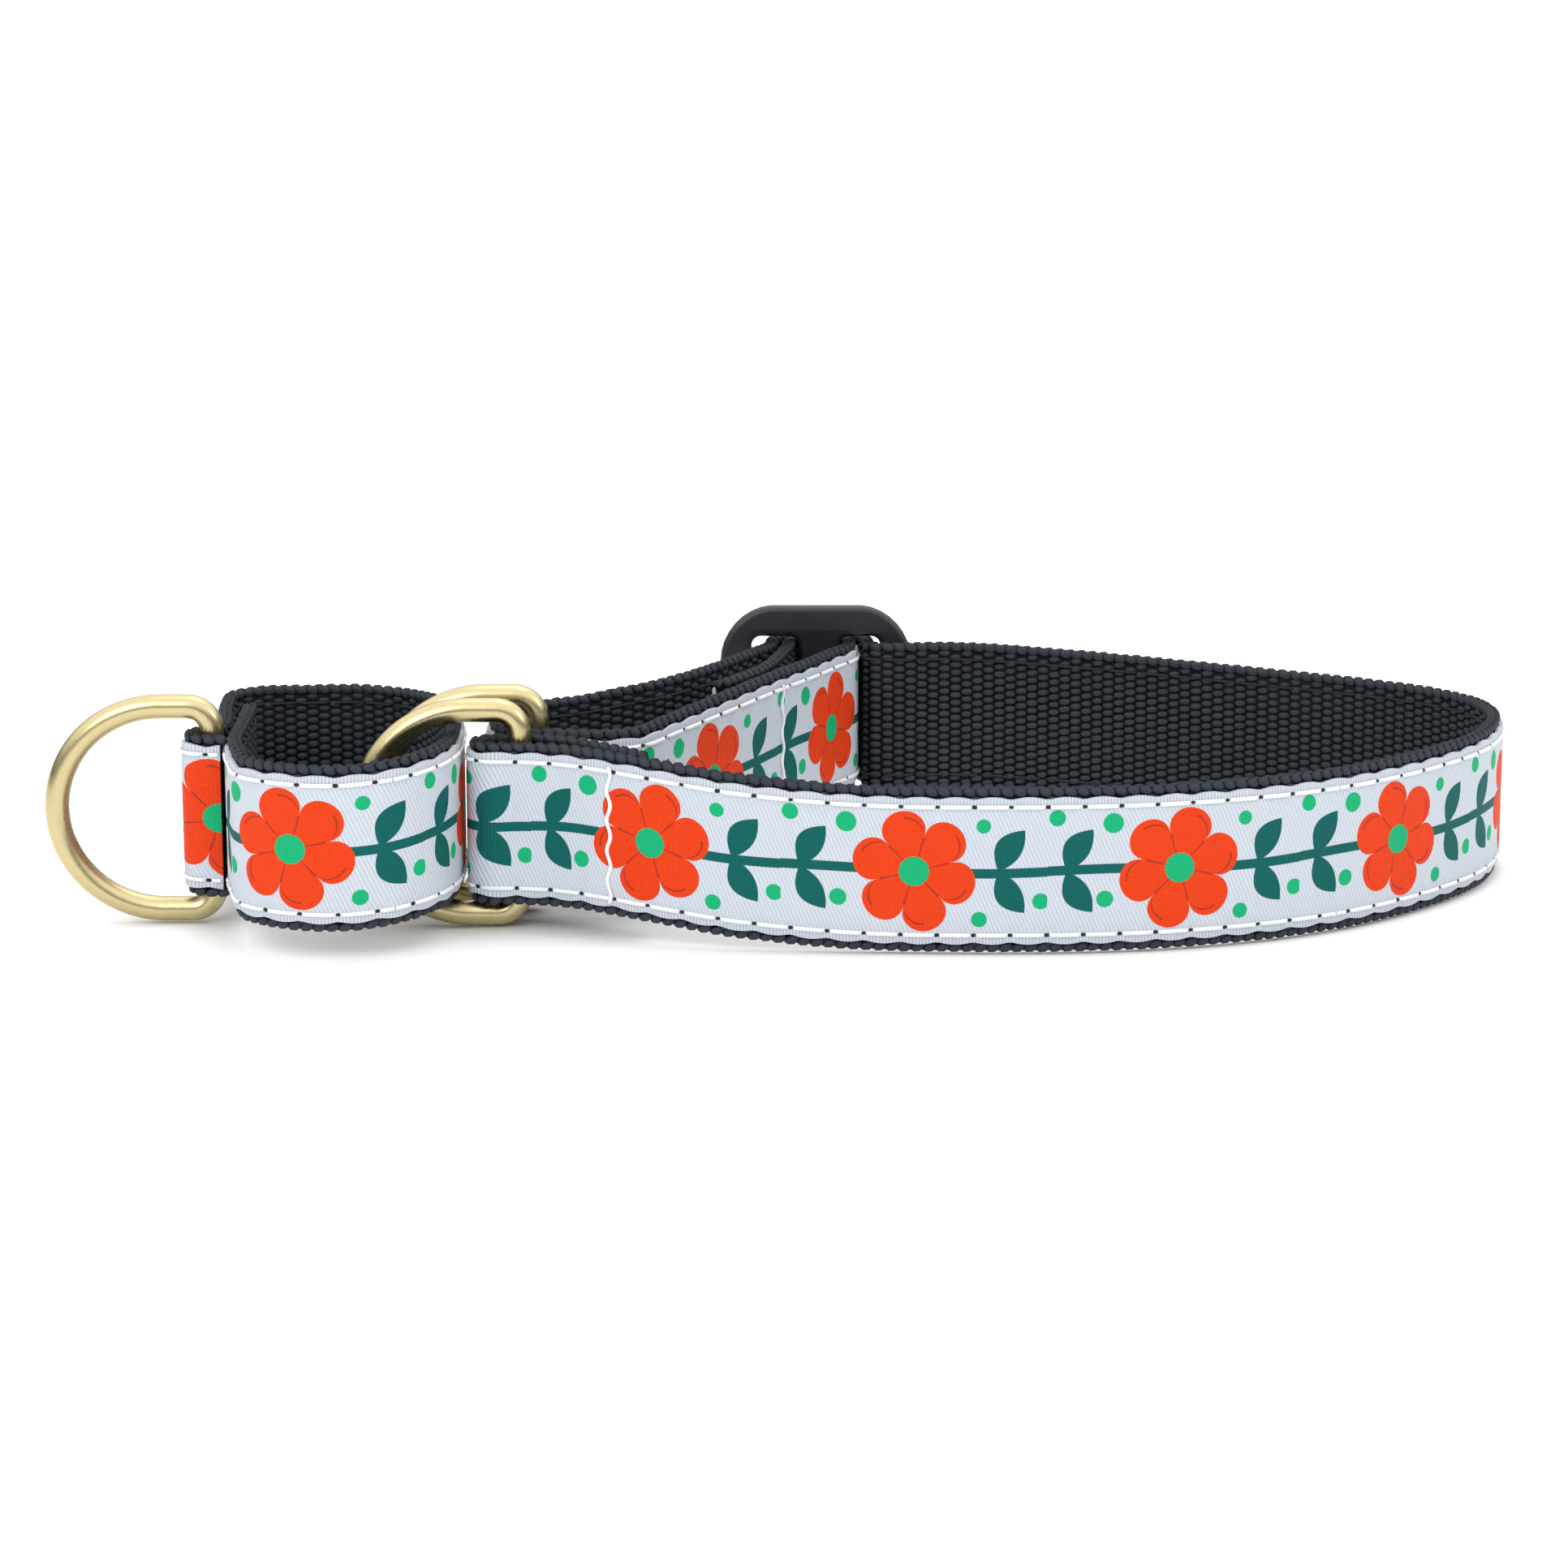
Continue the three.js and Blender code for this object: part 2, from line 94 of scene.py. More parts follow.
HALF_WEB = WEB_THICKNESS / 2
RIBBON_FACE = HALF_WEB + SEWN_GAP + RIBBON_THICKNESS
RIBBON_BOTTOM = (WEB_WIDTH - RIBBON_WIDTH) / 2
HALF_WIRE = WIRE / 2
RING_HEIGHT = WEB_WIDTH + RING_PLAY + 2 * WIRE
RING_LIFT = WIRE + TOUCH_GAP
LOOP_LIFT = (RING_HEIGHT - WEB_WIDTH) / 2
SLIDER_LIFT = SLIDER_FRAME + SLOT_PLAY / 2
BAR_WRAP = HALF_WIRE + TOUCH_GAP + HALF_WEB
FRONT_FOLD = HALF_WIRE + FRONT_FOLD_SLACK + HALF_WEB
LOOP_IN_RING = FRONT_FOLD + 2 * RIBBON_FACE + TOUCH_GAP + SEWN_GAP + 0.3
REAR_BAR_ALONG = WALL_REACH - HALF_WEB - LOOP_IN_RING
STRAND_STEP = RIBBON_FACE + TOUCH_GAP + HALF_WEB
INNER_BACK = SLIDER_BAR / 2 + TOUCH_GAP + HALF_WEB
OUTER_BACK = INNER_BACK + STRAND_STEP + 0.2
SIDE_FRONT = SLIDER_BAR / 2 + TOUCH_GAP + RIBBON_FACE
INNER_SIDE = CENTRE_BAR / 2 + TOUCH_GAP + HALF_WEB
OUTER_SIDE = INNER_SIDE + STRAND_STEP
RIGHT_EDGE = OUTER_SIDE + RIBBON_FACE + TOUCH_GAP + 0.8
PINCH_WALL = HALF_WIRE + TOUCH_GAP + RIBBON_FACE
LEASH_BAR_ALONG = -LOOP_IN_RING - LOOP_LENGTH - LEASH_PULL + PINCH_WALL
low = LOOP_LIFT - LOOP_SAG
middling = LOOP_LIFT - LOOP_SAG / 2


def neck(along, back, lift):
    return along * NECK_LENGTH, back * NECK_DEPTH, lift


def front_bar(x, y, lift=RING_LIFT):
    return x, y, lift


def rear_bar(x, y):
    return REAR_BAR_ALONG + x, REAR_BAR_BACK + y, RING_LIFT


def at_slider(x, y, lift=SLIDER_LIFT):
    return SLIDER_ALONG + x, SLIDER_BACK + y, lift


def loop_at(along, back, lift):
    return -LOOP_IN_RING - along * LOOP_LENGTH, back * LOOP_DEPTH - LOOP_FRONT, lift


def leash_bar(x, y):
    return LEASH_BAR_ALONG + x, LEASH_BAR_BACK + y, middling


main_stretches = {
    "front": [
        front_bar(19.4, -BAR_WRAP - 2.7, RING_LIFT - 0.9),
        front_bar(12.5, -0.6, RING_LIFT - 0.5),
        front_bar(5.5, BAR_WRAP - 0.9),
        front_bar(0, BAR_WRAP),
        front_bar(-BAR_WRAP - 1.2, BAR_WRAP - 0.2),
        front_bar(-FRONT_FOLD + 0.5, 1.7),
        front_bar(-FRONT_FOLD, 0),
        front_bar(-FRONT_FOLD + 0.5, -1.7),
        front_bar(-BAR_WRAP - 1.2, -BAR_WRAP + 0.2),
        front_bar(0, -BAR_WRAP),
        neck(0.045, -0.058, RING_LIFT - 0.1),
        neck(0.088, -0.096, RING_LIFT - 0.4),
        neck(0.16, -0.152, 2.6),
        neck(0.209, -0.176, 1.7),
        neck(0.302, -0.197, 0.5),
        neck(0.388, -0.205, 0),
        neck(0.478, -0.208, 0),
        neck(0.568, -0.198, 0),
        neck(0.645, -0.17, 0),
        neck(0.722, -0.118, 0),
    ],
    "rightEnd": [
        neck(0.799, -0.037, 0),
        neck(0.863, 0.064, 0),
        neck(0.921, 0.186, 0),
        neck(0.968, 0.32, 0),
        neck(0.995, 0.466, 0),
        neck(1, 0.56, 0),
        neck(0.987, 0.676, 0),
        neck(0.953, 0.769, 0),
        neck(0.907, 0.844, 0),
        neck(0.849, 0.907, 0.1),
        neck(0.785, 0.949, 0.5),
    ],
    "back": [
        neck(0.709, 0.964, 1.5),
        neck(0.626, 0.953, 2.9),
        at_slider(38.5, 0.2, 4.4),
        at_slider(28.5, -1.7, 5.5),
    ],
    "sliderPass": [
        at_slider(21.5, -SIDE_FRONT + 0.4),
        at_slider(15.5, -SIDE_FRONT - 0.1),
        at_slider(RIGHT_EDGE + 0.6, -SIDE_FRONT - 0.1),
        at_slider(RIGHT_EDGE - 1.4, -SIDE_FRONT + 0.5),
        at_slider(RIGHT_EDGE - RIBBON_FACE - TOUCH_GAP - 0.2, -SLIDER_BAR / 2),
        at_slider(OUTER_SIDE + 0.5, SLIDER_BAR / 2),
        at_slider(OUTER_SIDE - 0.5, OUTER_BACK - 1.5),
        at_slider(OUTER_SIDE - 3.4, OUTER_BACK),
        at_slider(0, OUTER_BACK),
        at_slider(-OUTER_SIDE + 3.8, OUTER_BACK),
        at_slider(-OUTER_SIDE + 0.7, OUTER_BACK - 1.5),
        at_slider(-OUTER_SIDE - 0.4, SLIDER_BAR / 2),
        at_slider(-OUTER_SIDE - 0.5, -SLIDER_BAR / 2 + 0.2),
        at_slider(-OUTER_SIDE - 1.5, -4.4),
        at_slider(-11.5, -9.4),
    ],
    "adjusting": [
        at_slider(-14.5, -16),
        at_slider(-17.9, -22.8),
        at_slider(-22, -29, 5.9),
        at_slider(-27, -33.4, 5.4),
        at_slider(-33, -36.6, 4.8),
        rear_bar(5.5, 22.2),
    ],
    "rearFold": [
        rear_bar(0.5, 18.9),
        rear_bar(-3.8, 14),
        rear_bar(-6.4, 8),
        rear_bar(-6.4, 2.2),
        rear_bar(-4.2, -2),
        rear_bar(0, -BAR_WRAP - 0.1),
        rear_bar(5.5, -BAR_WRAP - 0.9),
        rear_bar(11, -BAR_WRAP - 1.3),
    ],
    "returning": [
        rear_bar(15.6, -2.4),
        at_slider(-24.6, -57.2, 4.5),
        at_slider(-20, -49.5, 4.9),
        at_slider(-15, -41.3, 5.4),
    ],
    "sliderWrap": [
        at_slider(-10.3, -33.2, 5.8),
        at_slider(-6, -25.5),
        at_slider(-2, -17.7),
        at_slider(1.5, -9.9),
        at_slider(INNER_SIDE - 0.1, -3.2),
        at_slider(INNER_SIDE + 0.1, SLIDER_BAR / 2),
        at_slider(INNER_SIDE - 1.1, INNER_BACK - 0.2),
        at_slider(INNER_SIDE - 2.8, INNER_BACK + 0.1),
        at_slider(-INNER_SIDE + 2.8, INNER_BACK + 0.1),
        at_slider(-INNER_SIDE + 1.1, INNER_BACK - 0.2),
        at_slider(-INNER_SIDE - 0.1, SLIDER_BAR / 2),
        at_slider(-INNER_SIDE - 0.6, -3.6),
        at_slider(-6.7, -11.5),
        at_slider(-8, -18),
        at_slider(-10, -24.5),
        at_slider(-13.3, -31.3),
        at_slider(-16.3, -36.4),
    ],
}

# The control loop's route, from its inner end, round the loop and the leash ring's bar, to the pinch
loop_stretches = {
    "innerWall": [
        leash_bar(PINCH_WALL - 0.4, 21.4),
        leash_bar(PINCH_WALL - 0.1, 14),
        leash_bar(PINCH_WALL, 6),
        leash_bar(PINCH_WALL + 0.1, -3),
    ],
    "frontSide": [
        leash_bar(PINCH_WALL + 1.4, -10.6),
        loop_at(0.78, 0.105, low),
        loop_at(0.61, 0.022, low),
        loop_at(0.4, 0, low),
    ],
    "ringWall": [
        loop_at(0.21, 0.035, middling),
        loop_at(0.075, 0.125, LOOP_LIFT),
        loop_at(0.01, 0.26, LOOP_LIFT),
        loop_at(0, 0.45, LOOP_LIFT),
        loop_at(0.04, 0.66, LOOP_LIFT),
        loop_at(0.14, 0.84, middling),
    ],
    "backSide": [
        loop_at(0.29, 0.955, low),
        loop_at(0.47, 1, low),
        loop_at(0.68, 0.99, low),
        loop_at(0.88, 0.935, middling),
    ],
    "outerWall": [
        leash_bar(-0.2, 31),
        leash_bar(-0.5, 23),
        leash_bar(0.3, 14.5),
    ],
    "ringFold": [
        leash_bar(PINCH_WALL - STRAND_STEP - 0.1, 9),
        leash_bar(0.2, BAR_WRAP + 0.9),
        leash_bar(-BAR_WRAP * 0.75, BAR_WRAP * 0.75),
        leash_bar(-BAR_WRAP, 0),
        leash_bar(-BAR_WRAP * 0.75, -BAR_WRAP * 0.75),
        leash_bar(-0.4, -BAR_WRAP - 0.2),
        leash_bar(PINCH_WALL - RIBBON_FACE - TOUCH_GAP, -BAR_WRAP - 0.4),
    ],
}

front_ring_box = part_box("front_slip_ring")
bar_place = np.array([
    front_ring_box[1].x * 1000 - HALF_WIRE,
    (front_ring_box[0].y + front_ring_box[1].y) * 500,
    0,
])


def lay(stretches):
    """A smooth line through all the points: its samples, the distance along it, and each stretch's span."""
    points = np.array([p for own in stretches.values() for p in own], float) + bar_place
    ghosts = np.vstack([2 * points[0] - points[1], points, 2 * points[-1] - points[-2]])
    knots = np.sqrt(np.linalg.norm(np.diff(ghosts, axis=0), axis=1))
    t = np.linspace(0, 1, 40, endpoint=False)[:, None]
    samples = []
    for i in range(len(points) - 1):
        p0, p1, p2, p3 = ghosts[i:i + 4]
        d0, d1, d2 = knots[i:i + 3]
        m1 = ((p1 - p0) / d0 - (p2 - p0) / (d0 + d1) + (p2 - p1) / d1) * d1
        m2 = ((p2 - p1) / d1 - (p3 - p1) / (d1 + d2) + (p3 - p2) / d2) * d1
        bend = 3 * (p2 - p1) - 2 * m1 - m2
        samples.append(p1 + m1 * t + bend * t ** 2 + (2 * (p1 - p2) + m1 + m2) * t ** 3)
    line = np.vstack([*samples, points[-1:]])
    line[:, 2] = np.maximum(line[:, 2], 0)
    gone = np.r_[0, np.cumsum(np.linalg.norm(np.diff(line[:, :2], axis=0), axis=1))]
    heading = np.gradient(line[:, :2], gone, axis=0)
    heading /= np.linalg.norm(heading, axis=1)[:, None]
    spans = {}
    start = 0
    for name, own in stretches.items():
        end = min(start + len(own), len(points) - 1)
        spans[name] = (gone[start * 40], gone[end * 40])
        start = end
    return {"line": line, "gone": gone, "heading": heading, "spans": spans}


def on_strap(route, along, up, out):
    """Points at a distance along a route, a height on the webbing, and out from its middle, in mm."""
    along, up, out = np.broadcast_arrays(along, up, out)
    x, y, z = (np.interp(along, route["gone"], route["line"][:, k]) for k in range(3))
    hx, hy = (np.interp(along, route["gone"], route["heading"][:, k]) for k in range(2))
    return np.stack([x + hy * out, y - hx * out, z + up], axis=-1)


def swept(name, rings, extra=None):
    """A closed solid through a row of rings of points, in mm, and an attribute for the material if given."""
    rings = np.asarray(rings, float) / 1000
    n, k, _ = rings.shape
    i, j = np.meshgrid(np.arange(n - 1), np.arange(k), indexing="ij")
    a, b = i * k + j, i * k + (j + 1) % k
    quads = np.stack([a, a + k, b + k, b], axis=-1).reshape(-1, 4)
    across = rings[:, 1:-1] - rings[:, :1]
    fan = np.cross(across, rings[:, 2:] - rings[:, :1])
    forward = np.gradient(rings.mean(axis=1), axis=0)
    if np.sum(fan.sum(axis=1) * forward) > 0:
        quads = quads[:, ::-1]
        caps = [np.arange(k)[::-1], np.arange(k) + (n - 1) * k]
    else:
        caps = [np.arange(k), (np.arange(k) + (n - 1) * k)[::-1]]
    mesh = bpy.data.meshes.new(name)
    mesh.from_pydata(rings.reshape(-1, 3).tolist(), [], quads.tolist() + [c.tolist() for c in caps])
    if extra is not None:
        own = mesh.attributes.new("strap", "FLOAT_VECTOR", "POINT")
        own.data.foreach_set("vector", np.asarray(extra, np.float32).ravel())
    mesh.shade_smooth()
    mesh.set_sharp_from_angle(angle=math.radians(65))
    piece = bpy.data.objects.new(name, mesh)
    bpy.context.scene.collection.objects.link(piece)
    return piece


# Each visible length of strap: its route, its stretches, the CAD nodes it stands for, and what carries it
main_route = lay(main_stretches)
loop_route = lay(loop_stretches)
lengths = {
    "front_strap": (main_route, "front", "front", ["front_run"], ["collar"]),
    "end_strap": (main_route, "rightEnd", "rightEnd", ["right_end"], ["collar"]),
    "back_strap": (main_route, "back", "back", ["back_run"], ["collar", "slider"]),
    "slider_passage": (main_route, "sliderPass", "sliderPass", ["slider_pass"], ["slider"]),
    "adjusting_strap": (main_route, "adjusting", "adjusting", ["adjusting_run"], ["slider", "collar"]),
    "rear_bight": (main_route, "rearFold", "rearFold", ["rear_fold"], ["collar"]),
    "return_strap": (main_route, "returning", "returning", ["return_run"], ["collar", "slider"]),
    "tail_wrap": (main_route, "sliderWrap", "sliderWrap", ["slider_wrap"], ["slider"]),
    "loop_inner_end": (loop_route, "innerWall", "innerWall", ["loop_inner_wall"], ["loop_end"]),
    "loop_front_side": (loop_route, "frontSide", "frontSide", ["loop_front"], ["loop_end", "collar"]),
    "loop_wall": (loop_route, "ringWall", "ringWall", ["loop_ring_wall"], ["collar"]),
    "loop_back_side": (loop_route, "backSide", "backSide", ["loop_back"], ["collar", "loop_end"]),
    "leash_end": (loop_route, "outerWall", "ringFold", ["loop_outer_wall", "leash_fold"], ["loop_end"]),
}


def carry(piece, name, layer):
    """A piece of a length of strap goes with its body when it has one, or keeps its place in the world when
    it spans two, and stands for its nodes.
    """
    route, first, last, nodes, bodies = lengths[name]
    start, end = route["spans"][first][0], route["spans"][last][1]
    if len(bodies) == 1:
        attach(piece, bodies[0])
    else:
        ends = on_strap(route, np.array([start + 2.5, end - 2.5]), 0, 0) / 1000
        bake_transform(piece)
    for node in nodes:
        if f"{node}_{layer}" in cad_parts:
            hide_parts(f"{node}_{layer}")


def flat_material(name, colour, roughness, metallic=0.0):
    """A material with one Principled shader, and its node tree to add to."""
    material = bpy.data.materials.new(name)
    material.use_nodes = True
    shader = material.node_tree.nodes["Principled BSDF"]
    shader.inputs["Base Color"].default_value = (*colour, 1)
    shader.inputs["Roughness"].default_value = roughness
    shader.inputs["Metallic"].default_value = metallic
    return material, material.node_tree, shader


# ---- Webbing: black nylon, woven from heavy yarns that show as rows of oval bumps on both faces and as
# a plait of larger ones along both edges. A thin core carries the bumps, which are instanced on seats.
COLUMN_PITCH = 1.9
ROW_PITCH = 1.3
CORE_HALF = 0.5
BUMP_SIZE = (1.2, 0.66, 0.66)  # half-axes along, across and out
PLAIT_SIZE = (1.3, 0.8, 0.72)
WEBBING_COLOUR = (0.032, 0.038, 0.049)
# Painted shade: a near black colour for the gaps between the yarn bumps and for the core between them.
PAINTED_GAP_SHADE = (0.0015, 0.0015, 0.002)

webbing_material, tree, shader = flat_material("webbing", WEBBING_COLOUR, 0.5)
shader.inputs["Specular IOR Level"].default_value = 0.12
# The base colour runs from the webbing's own colour on each bump's crown to the painted shade colour at its
# sides and on the core, which has no crown: painted shade in the gaps between yarns.
crown = tree.nodes.new("ShaderNodeAttribute")
crown.attribute_name = "crown"
height = tree.nodes.new("ShaderNodeMapRange")
height.inputs["From Min"].default_value = 0.22
height.inputs["From Max"].default_value = 0.62
painted_gap_shade = tree.nodes.new("ShaderNodeMix")
painted_gap_shade.data_type = "RGBA"
painted_gap_shade.inputs[6].default_value = (*PAINTED_GAP_SHADE, 1)
painted_gap_shade.inputs[7].default_value = (*WEBBING_COLOUR, 1)
tree.links.new(crown.outputs["Fac"], height.inputs["Value"])
tree.links.new(height.outputs["Result"], painted_gap_shade.inputs[0])
tree.links.new(painted_gap_shade.outputs[2], shader.inputs["Base Color"])
coords = tree.nodes.new("ShaderNodeTexCoord")
fibres = tree.nodes.new("ShaderNodeTexNoise")
fibres.inputs["Scale"].default_value = 2600
fibres.inputs["Detail"].default_value = 2
bump = tree.nodes.new("ShaderNodeBump")
bump.inputs["Strength"].default_value = 0.25
bump.inputs["Distance"].default_value = 0.0002
tree.links.new(coords.outputs["Object"], fibres.inputs["Vector"])
tree.links.new(fibres.outputs["Fac"], bump.inputs["Height"])
tree.links.new(bump.outputs["Normal"], shader.inputs["Normal"])

bump_mesh = bpy.data.meshes.new("yarn_bump")
ball = bmesh.new()
bmesh.ops.create_uvsphere(ball, u_segments=8, v_segments=5, radius=1)
ball.to_mesh(bump_mesh)
ball.free()
crowns = bump_mesh.attributes.new("crown", "FLOAT", "POINT")
crowns.data.foreach_set("value", [abs(vertex.co.z) for vertex in bump_mesh.vertices])
bump_mesh.shade_smooth()
bump_object = bpy.data.objects.new("yarn_bump", bump_mesh)

weave = bpy.data.node_groups.new("Weave", "GeometryNodeTree")
weave.is_modifier = True
for name, kind in [
    ("Core", "NodeSocketGeometry"),
    ("Seats", "NodeSocketObject"),
    ("Bump", "NodeSocketObject"),
    ("Material", "NodeSocketMaterial"),
    ("Unevenness", "NodeSocketFloat"),
    ("Seed", "NodeSocketInt"),
]:
    weave.interface.new_socket(name, in_out="INPUT", socket_type=kind)
weave.interface.new_socket("Webbing", in_out="OUTPUT", socket_type="NodeSocketGeometry")
given = weave.nodes.new("NodeGroupInput")
seats_info = weave.nodes.new("GeometryNodeObjectInfo")
bump_info = weave.nodes.new("GeometryNodeObjectInfo")
turn = weave.nodes.new("GeometryNodeInputNamedAttribute")
turn.data_type = "FLOAT_VECTOR"
turn.inputs["Name"].default_value = "turn"
size = weave.nodes.new("GeometryNodeInputNamedAttribute")
size.data_type = "FLOAT_VECTOR"
size.inputs["Name"].default_value = "size"
to_rotation = weave.nodes.new("FunctionNodeEulerToRotation")
uneven = weave.nodes.new("FunctionNodeRandomValue")
uneven.data_type = "FLOAT"
less = weave.nodes.new("ShaderNodeMath")
less.operation = "SUBTRACT"
less.inputs[0].default_value = 1
scaled = weave.nodes.new("ShaderNodeVectorMath")
scaled.operation = "SCALE"
placed = weave.nodes.new("GeometryNodeInstanceOnPoints")
realized = weave.nodes.new("GeometryNodeRealizeInstances")
joined = weave.nodes.new("GeometryNodeJoinGeometry")
painted = weave.nodes.new("GeometryNodeSetMaterial")
result = weave.nodes.new("NodeGroupOutput")
for a, b in [
    (given.outputs["Seats"], seats_info.inputs["Object"]),
    (given.outputs["Bump"], bump_info.inputs["Object"]),
    (given.outputs["Unevenness"], less.inputs[1]),
    (less.outputs[0], uneven.inputs[2]),
    (given.outputs["Seed"], uneven.inputs["Seed"]),
    (seats_info.outputs["Geometry"], placed.inputs["Points"]),
    (bump_info.outputs["Geometry"], placed.inputs["Instance"]),
    (turn.outputs[0], to_rotation.inputs["Euler"]),
    (to_rotation.outputs["Rotation"], placed.inputs["Rotation"]),
    (size.outputs[0], scaled.inputs[0]),
    (uneven.outputs[1], scaled.inputs["Scale"]),
    (scaled.outputs[0], placed.inputs["Scale"]),
    (placed.outputs["Instances"], realized.inputs["Geometry"]),
    (realized.outputs["Geometry"], joined.inputs["Geometry"]),
    (given.outputs["Core"], joined.inputs["Geometry"]),
    (joined.outputs["Geometry"], painted.inputs["Geometry"]),
    (given.outputs["Material"], painted.inputs["Material"]),
    (painted.outputs["Geometry"], result.inputs["Webbing"]),
]:
    weave.links.new(a, b)
uneven.inputs[3].default_value = 1.0


def seat_object(name, route, along, up, out, size, tilt):
    """One vertex per bump or stitch, with its turn, so that its length lies along the strap."""
    along, up, out, tilt = (v.ravel() for v in np.broadcast_arrays(along, up, out, tilt))
    places = on_strap(route, along, up, out) / 1000
    hx, hy = (np.interp(along, route["gone"], route["heading"][:, k]) for k in range(2))
    turns = np.stack([np.full_like(hx, math.pi / 2), -tilt, np.arctan2(hy, hx)], axis=-1)
    mesh = bpy.data.meshes.new(name)
    mesh.from_pydata(places.tolist(), [], [])
    sizes = np.tile(np.array(size, np.float32) / 1000, (len(places), 1))
    for kind, values in (("turn", turns.astype(np.float32)), ("size", sizes)):
        own = mesh.attributes.new(kind, "FLOAT_VECTOR", "POINT")
        own.data.foreach_set("vector", values.ravel())
    return mesh


def joined_seats(name, meshes):
    """Several sets of seats as one object."""
    both = bmesh.new()
    for mesh in meshes:
        both.from_mesh(mesh)
    whole = bpy.data.meshes.new(name)
    both.to_mesh(whole)
    both.free()
    return bpy.data.objects.new(name, whole)


def grown(core, group, values):
    """The core with a node group's instances realized on it, as a plain mesh."""
    modifier = core.modifiers.new("grown", "NODES")
    modifier.node_group = group
    sockets = {s.name: s.identifier for s in group.interface.items_tree if s.in_out == "INPUT"}
    for name, value in values.items():
        modifier[sockets[name]] = value
    depsgraph = bpy.context.evaluated_depsgraph_get()
    mesh = bpy.data.meshes.new_from_object(core.evaluated_get(depsgraph), depsgraph=depsgraph)
    core.modifiers.remove(modifier)
    core.data = mesh
    mesh.shade_smooth()
    return core


for number, (name, (route, first, last, nodes, bodies)) in enumerate(lengths.items()):
    start, end = route["spans"][first][0], route["spans"][last][1]
    stations = np.linspace(start, end, int((end - start) / 0.7) + 2)[:, None]
    half, edge = CORE_HALF, 0.7
    ups = np.array([edge, edge + 0.4, WEB_WIDTH - edge - 0.4, WEB_WIDTH - edge] * 2)
    outs = np.array([-half + 0.4, -half, -half, -half + 0.4, half - 0.4, half, half, half - 0.4])
    order = [0, 1, 2, 3, 7, 6, 5, 4]
    core = swept(f"{name}_webbing", on_strap(route, stations, ups[order], outs[order]))
    columns = np.arange(math.ceil(start / COLUMN_PITCH), math.floor(end / COLUMN_PITCH) + 0.5)
    rows = np.arange(int((WEB_WIDTH - 2.6) / ROW_PITCH) + 1)
    along = columns[:, None] * COLUMN_PITCH
    up = 1.5 + rows[None, :] * ROW_PITCH + (columns[:, None] % 2) * ROW_PITCH / 2
    inside = np.broadcast_to(along, up.shape)[up < WEB_WIDTH - 1.2], up[up < WEB_WIDTH - 1.2]
    near_edge = (up < RIBBON_BOTTOM + 0.6) | (up > WEB_WIDTH - RIBBON_BOTTOM - 0.6)
    shown = near_edge & (up < WEB_WIDTH - 1.2)
    outside = np.broadcast_to(along, up.shape)[shown], up[shown]
    deep = HALF_WEB - BUMP_SIZE[2]
    sets = [
        seat_object("inner", route, inside[0], inside[1], -deep, BUMP_SIZE, 0.0),
        seat_object("outer", route, outside[0], outside[1], deep, BUMP_SIZE, 0.0),
    ]
    for side in (-1, 1):
        for height, lean in ((PLAIT_SIZE[1] - 0.08, 0.3), (WEB_WIDTH - PLAIT_SIZE[1] + 0.08, -0.3)):
            beside = columns * COLUMN_PITCH + (side + 1) * COLUMN_PITCH / 4
            plaited = seat_object("plait", route, beside, height, side * 0.42, PLAIT_SIZE, side * lean)
            sets.append(plaited)
    seats = joined_seats(f"{name}_seats", sets)
    values = {
        "Seats": seats,
        "Bump": bump_object,
        "Material": webbing_material,
        "Unevenness": 0.1,
        "Seed": number,
    }
    piece = grown(core, weave, values)
    carry(piece, name, "webbing")

# ---- Ribbon: a woven jacquard, pale grey with a vine of flowers, sewn down along both edges, so that
# its edges scallop between the stitches. Its pattern is drawn by the material from two attributes.
FLOWER_PITCH = 40.0
FLOWER_RADIUS = 9.5
HEART_RADIUS = 2.35
STEM_HALF = 0.8
TWILL_PITCH = 0.62
RIB_PITCH = 0.5
GRAIN_TURNS = 8.5  # radians per mm of the small checks in the coloured parts
# Where a flower's middle lies along each route: up to its right-hand end, and again from the end of the
# stretch named. Between the two the repeat slips evenly, so that the pattern has no cut.
MAIN_FLOWERS = ("back", 21.0, 12.5)
LOOP_FLOWERS = ("outerWall", 48.3, 34.3)
GREY = (0.57, 0.62, 0.69)
ORANGE = (0.80, 0.052, 0.006)
DARK_ORANGE = (0.42, 0.035, 0.015)
TEAL = (0.0015, 0.115, 0.105)
MINT = (0.008, 0.44, 0.18)

pattern = bpy.data.node_groups.new("Floral ribbon", "ShaderNodeTree")
pattern.interface.new_socket("Place", in_out="INPUT", socket_type="NodeSocketVector")
pattern.interface.new_socket("Color", in_out="OUTPUT", socket_type="NodeSocketColor")
pattern.interface.new_socket("Relief", in_out="OUTPUT", socket_type="NodeSocketFloat")
given = pattern.nodes.new("NodeGroupInput")
result = pattern.nodes.new("NodeGroupOutput")


def maths(operation, *values):
    """A maths node in the pattern's tree. A number goes straight on its socket."""
    node = pattern.nodes.new("ShaderNodeMath")
    node.operation = operation
    for socket, value in zip(node.inputs, values):
        if isinstance(value, (int, float)):
            socket.default_value = value
        else:
            pattern.links.new(value, socket)
    return node.outputs[0]


def add(a, b):
    return maths("ADD", a, b)


def times(a, b):
    return maths("MULTIPLY", a, b)


def below(a, b):
    """1 where a is well below b, with a soft step of about 0.1 mm."""
    return maths("SMOOTH_MIN", 1.0, maths("MAXIMUM", times(maths("SUBTRACT", b, a), 9.0), 0.0), 0.02)


def painted_over(under, mask, colour):
    node = pattern.nodes.new("ShaderNodeMix")
    node.data_type = "RGBA"
    pattern.links.new(mask, node.inputs[0])
    if isinstance(under, tuple):
        node.inputs[6].default_value = (*under, 1)
    else:
        pattern.links.new(under, node.inputs[6])
    node.inputs[7].default_value = (*colour, 1)
    return node.outputs[2]


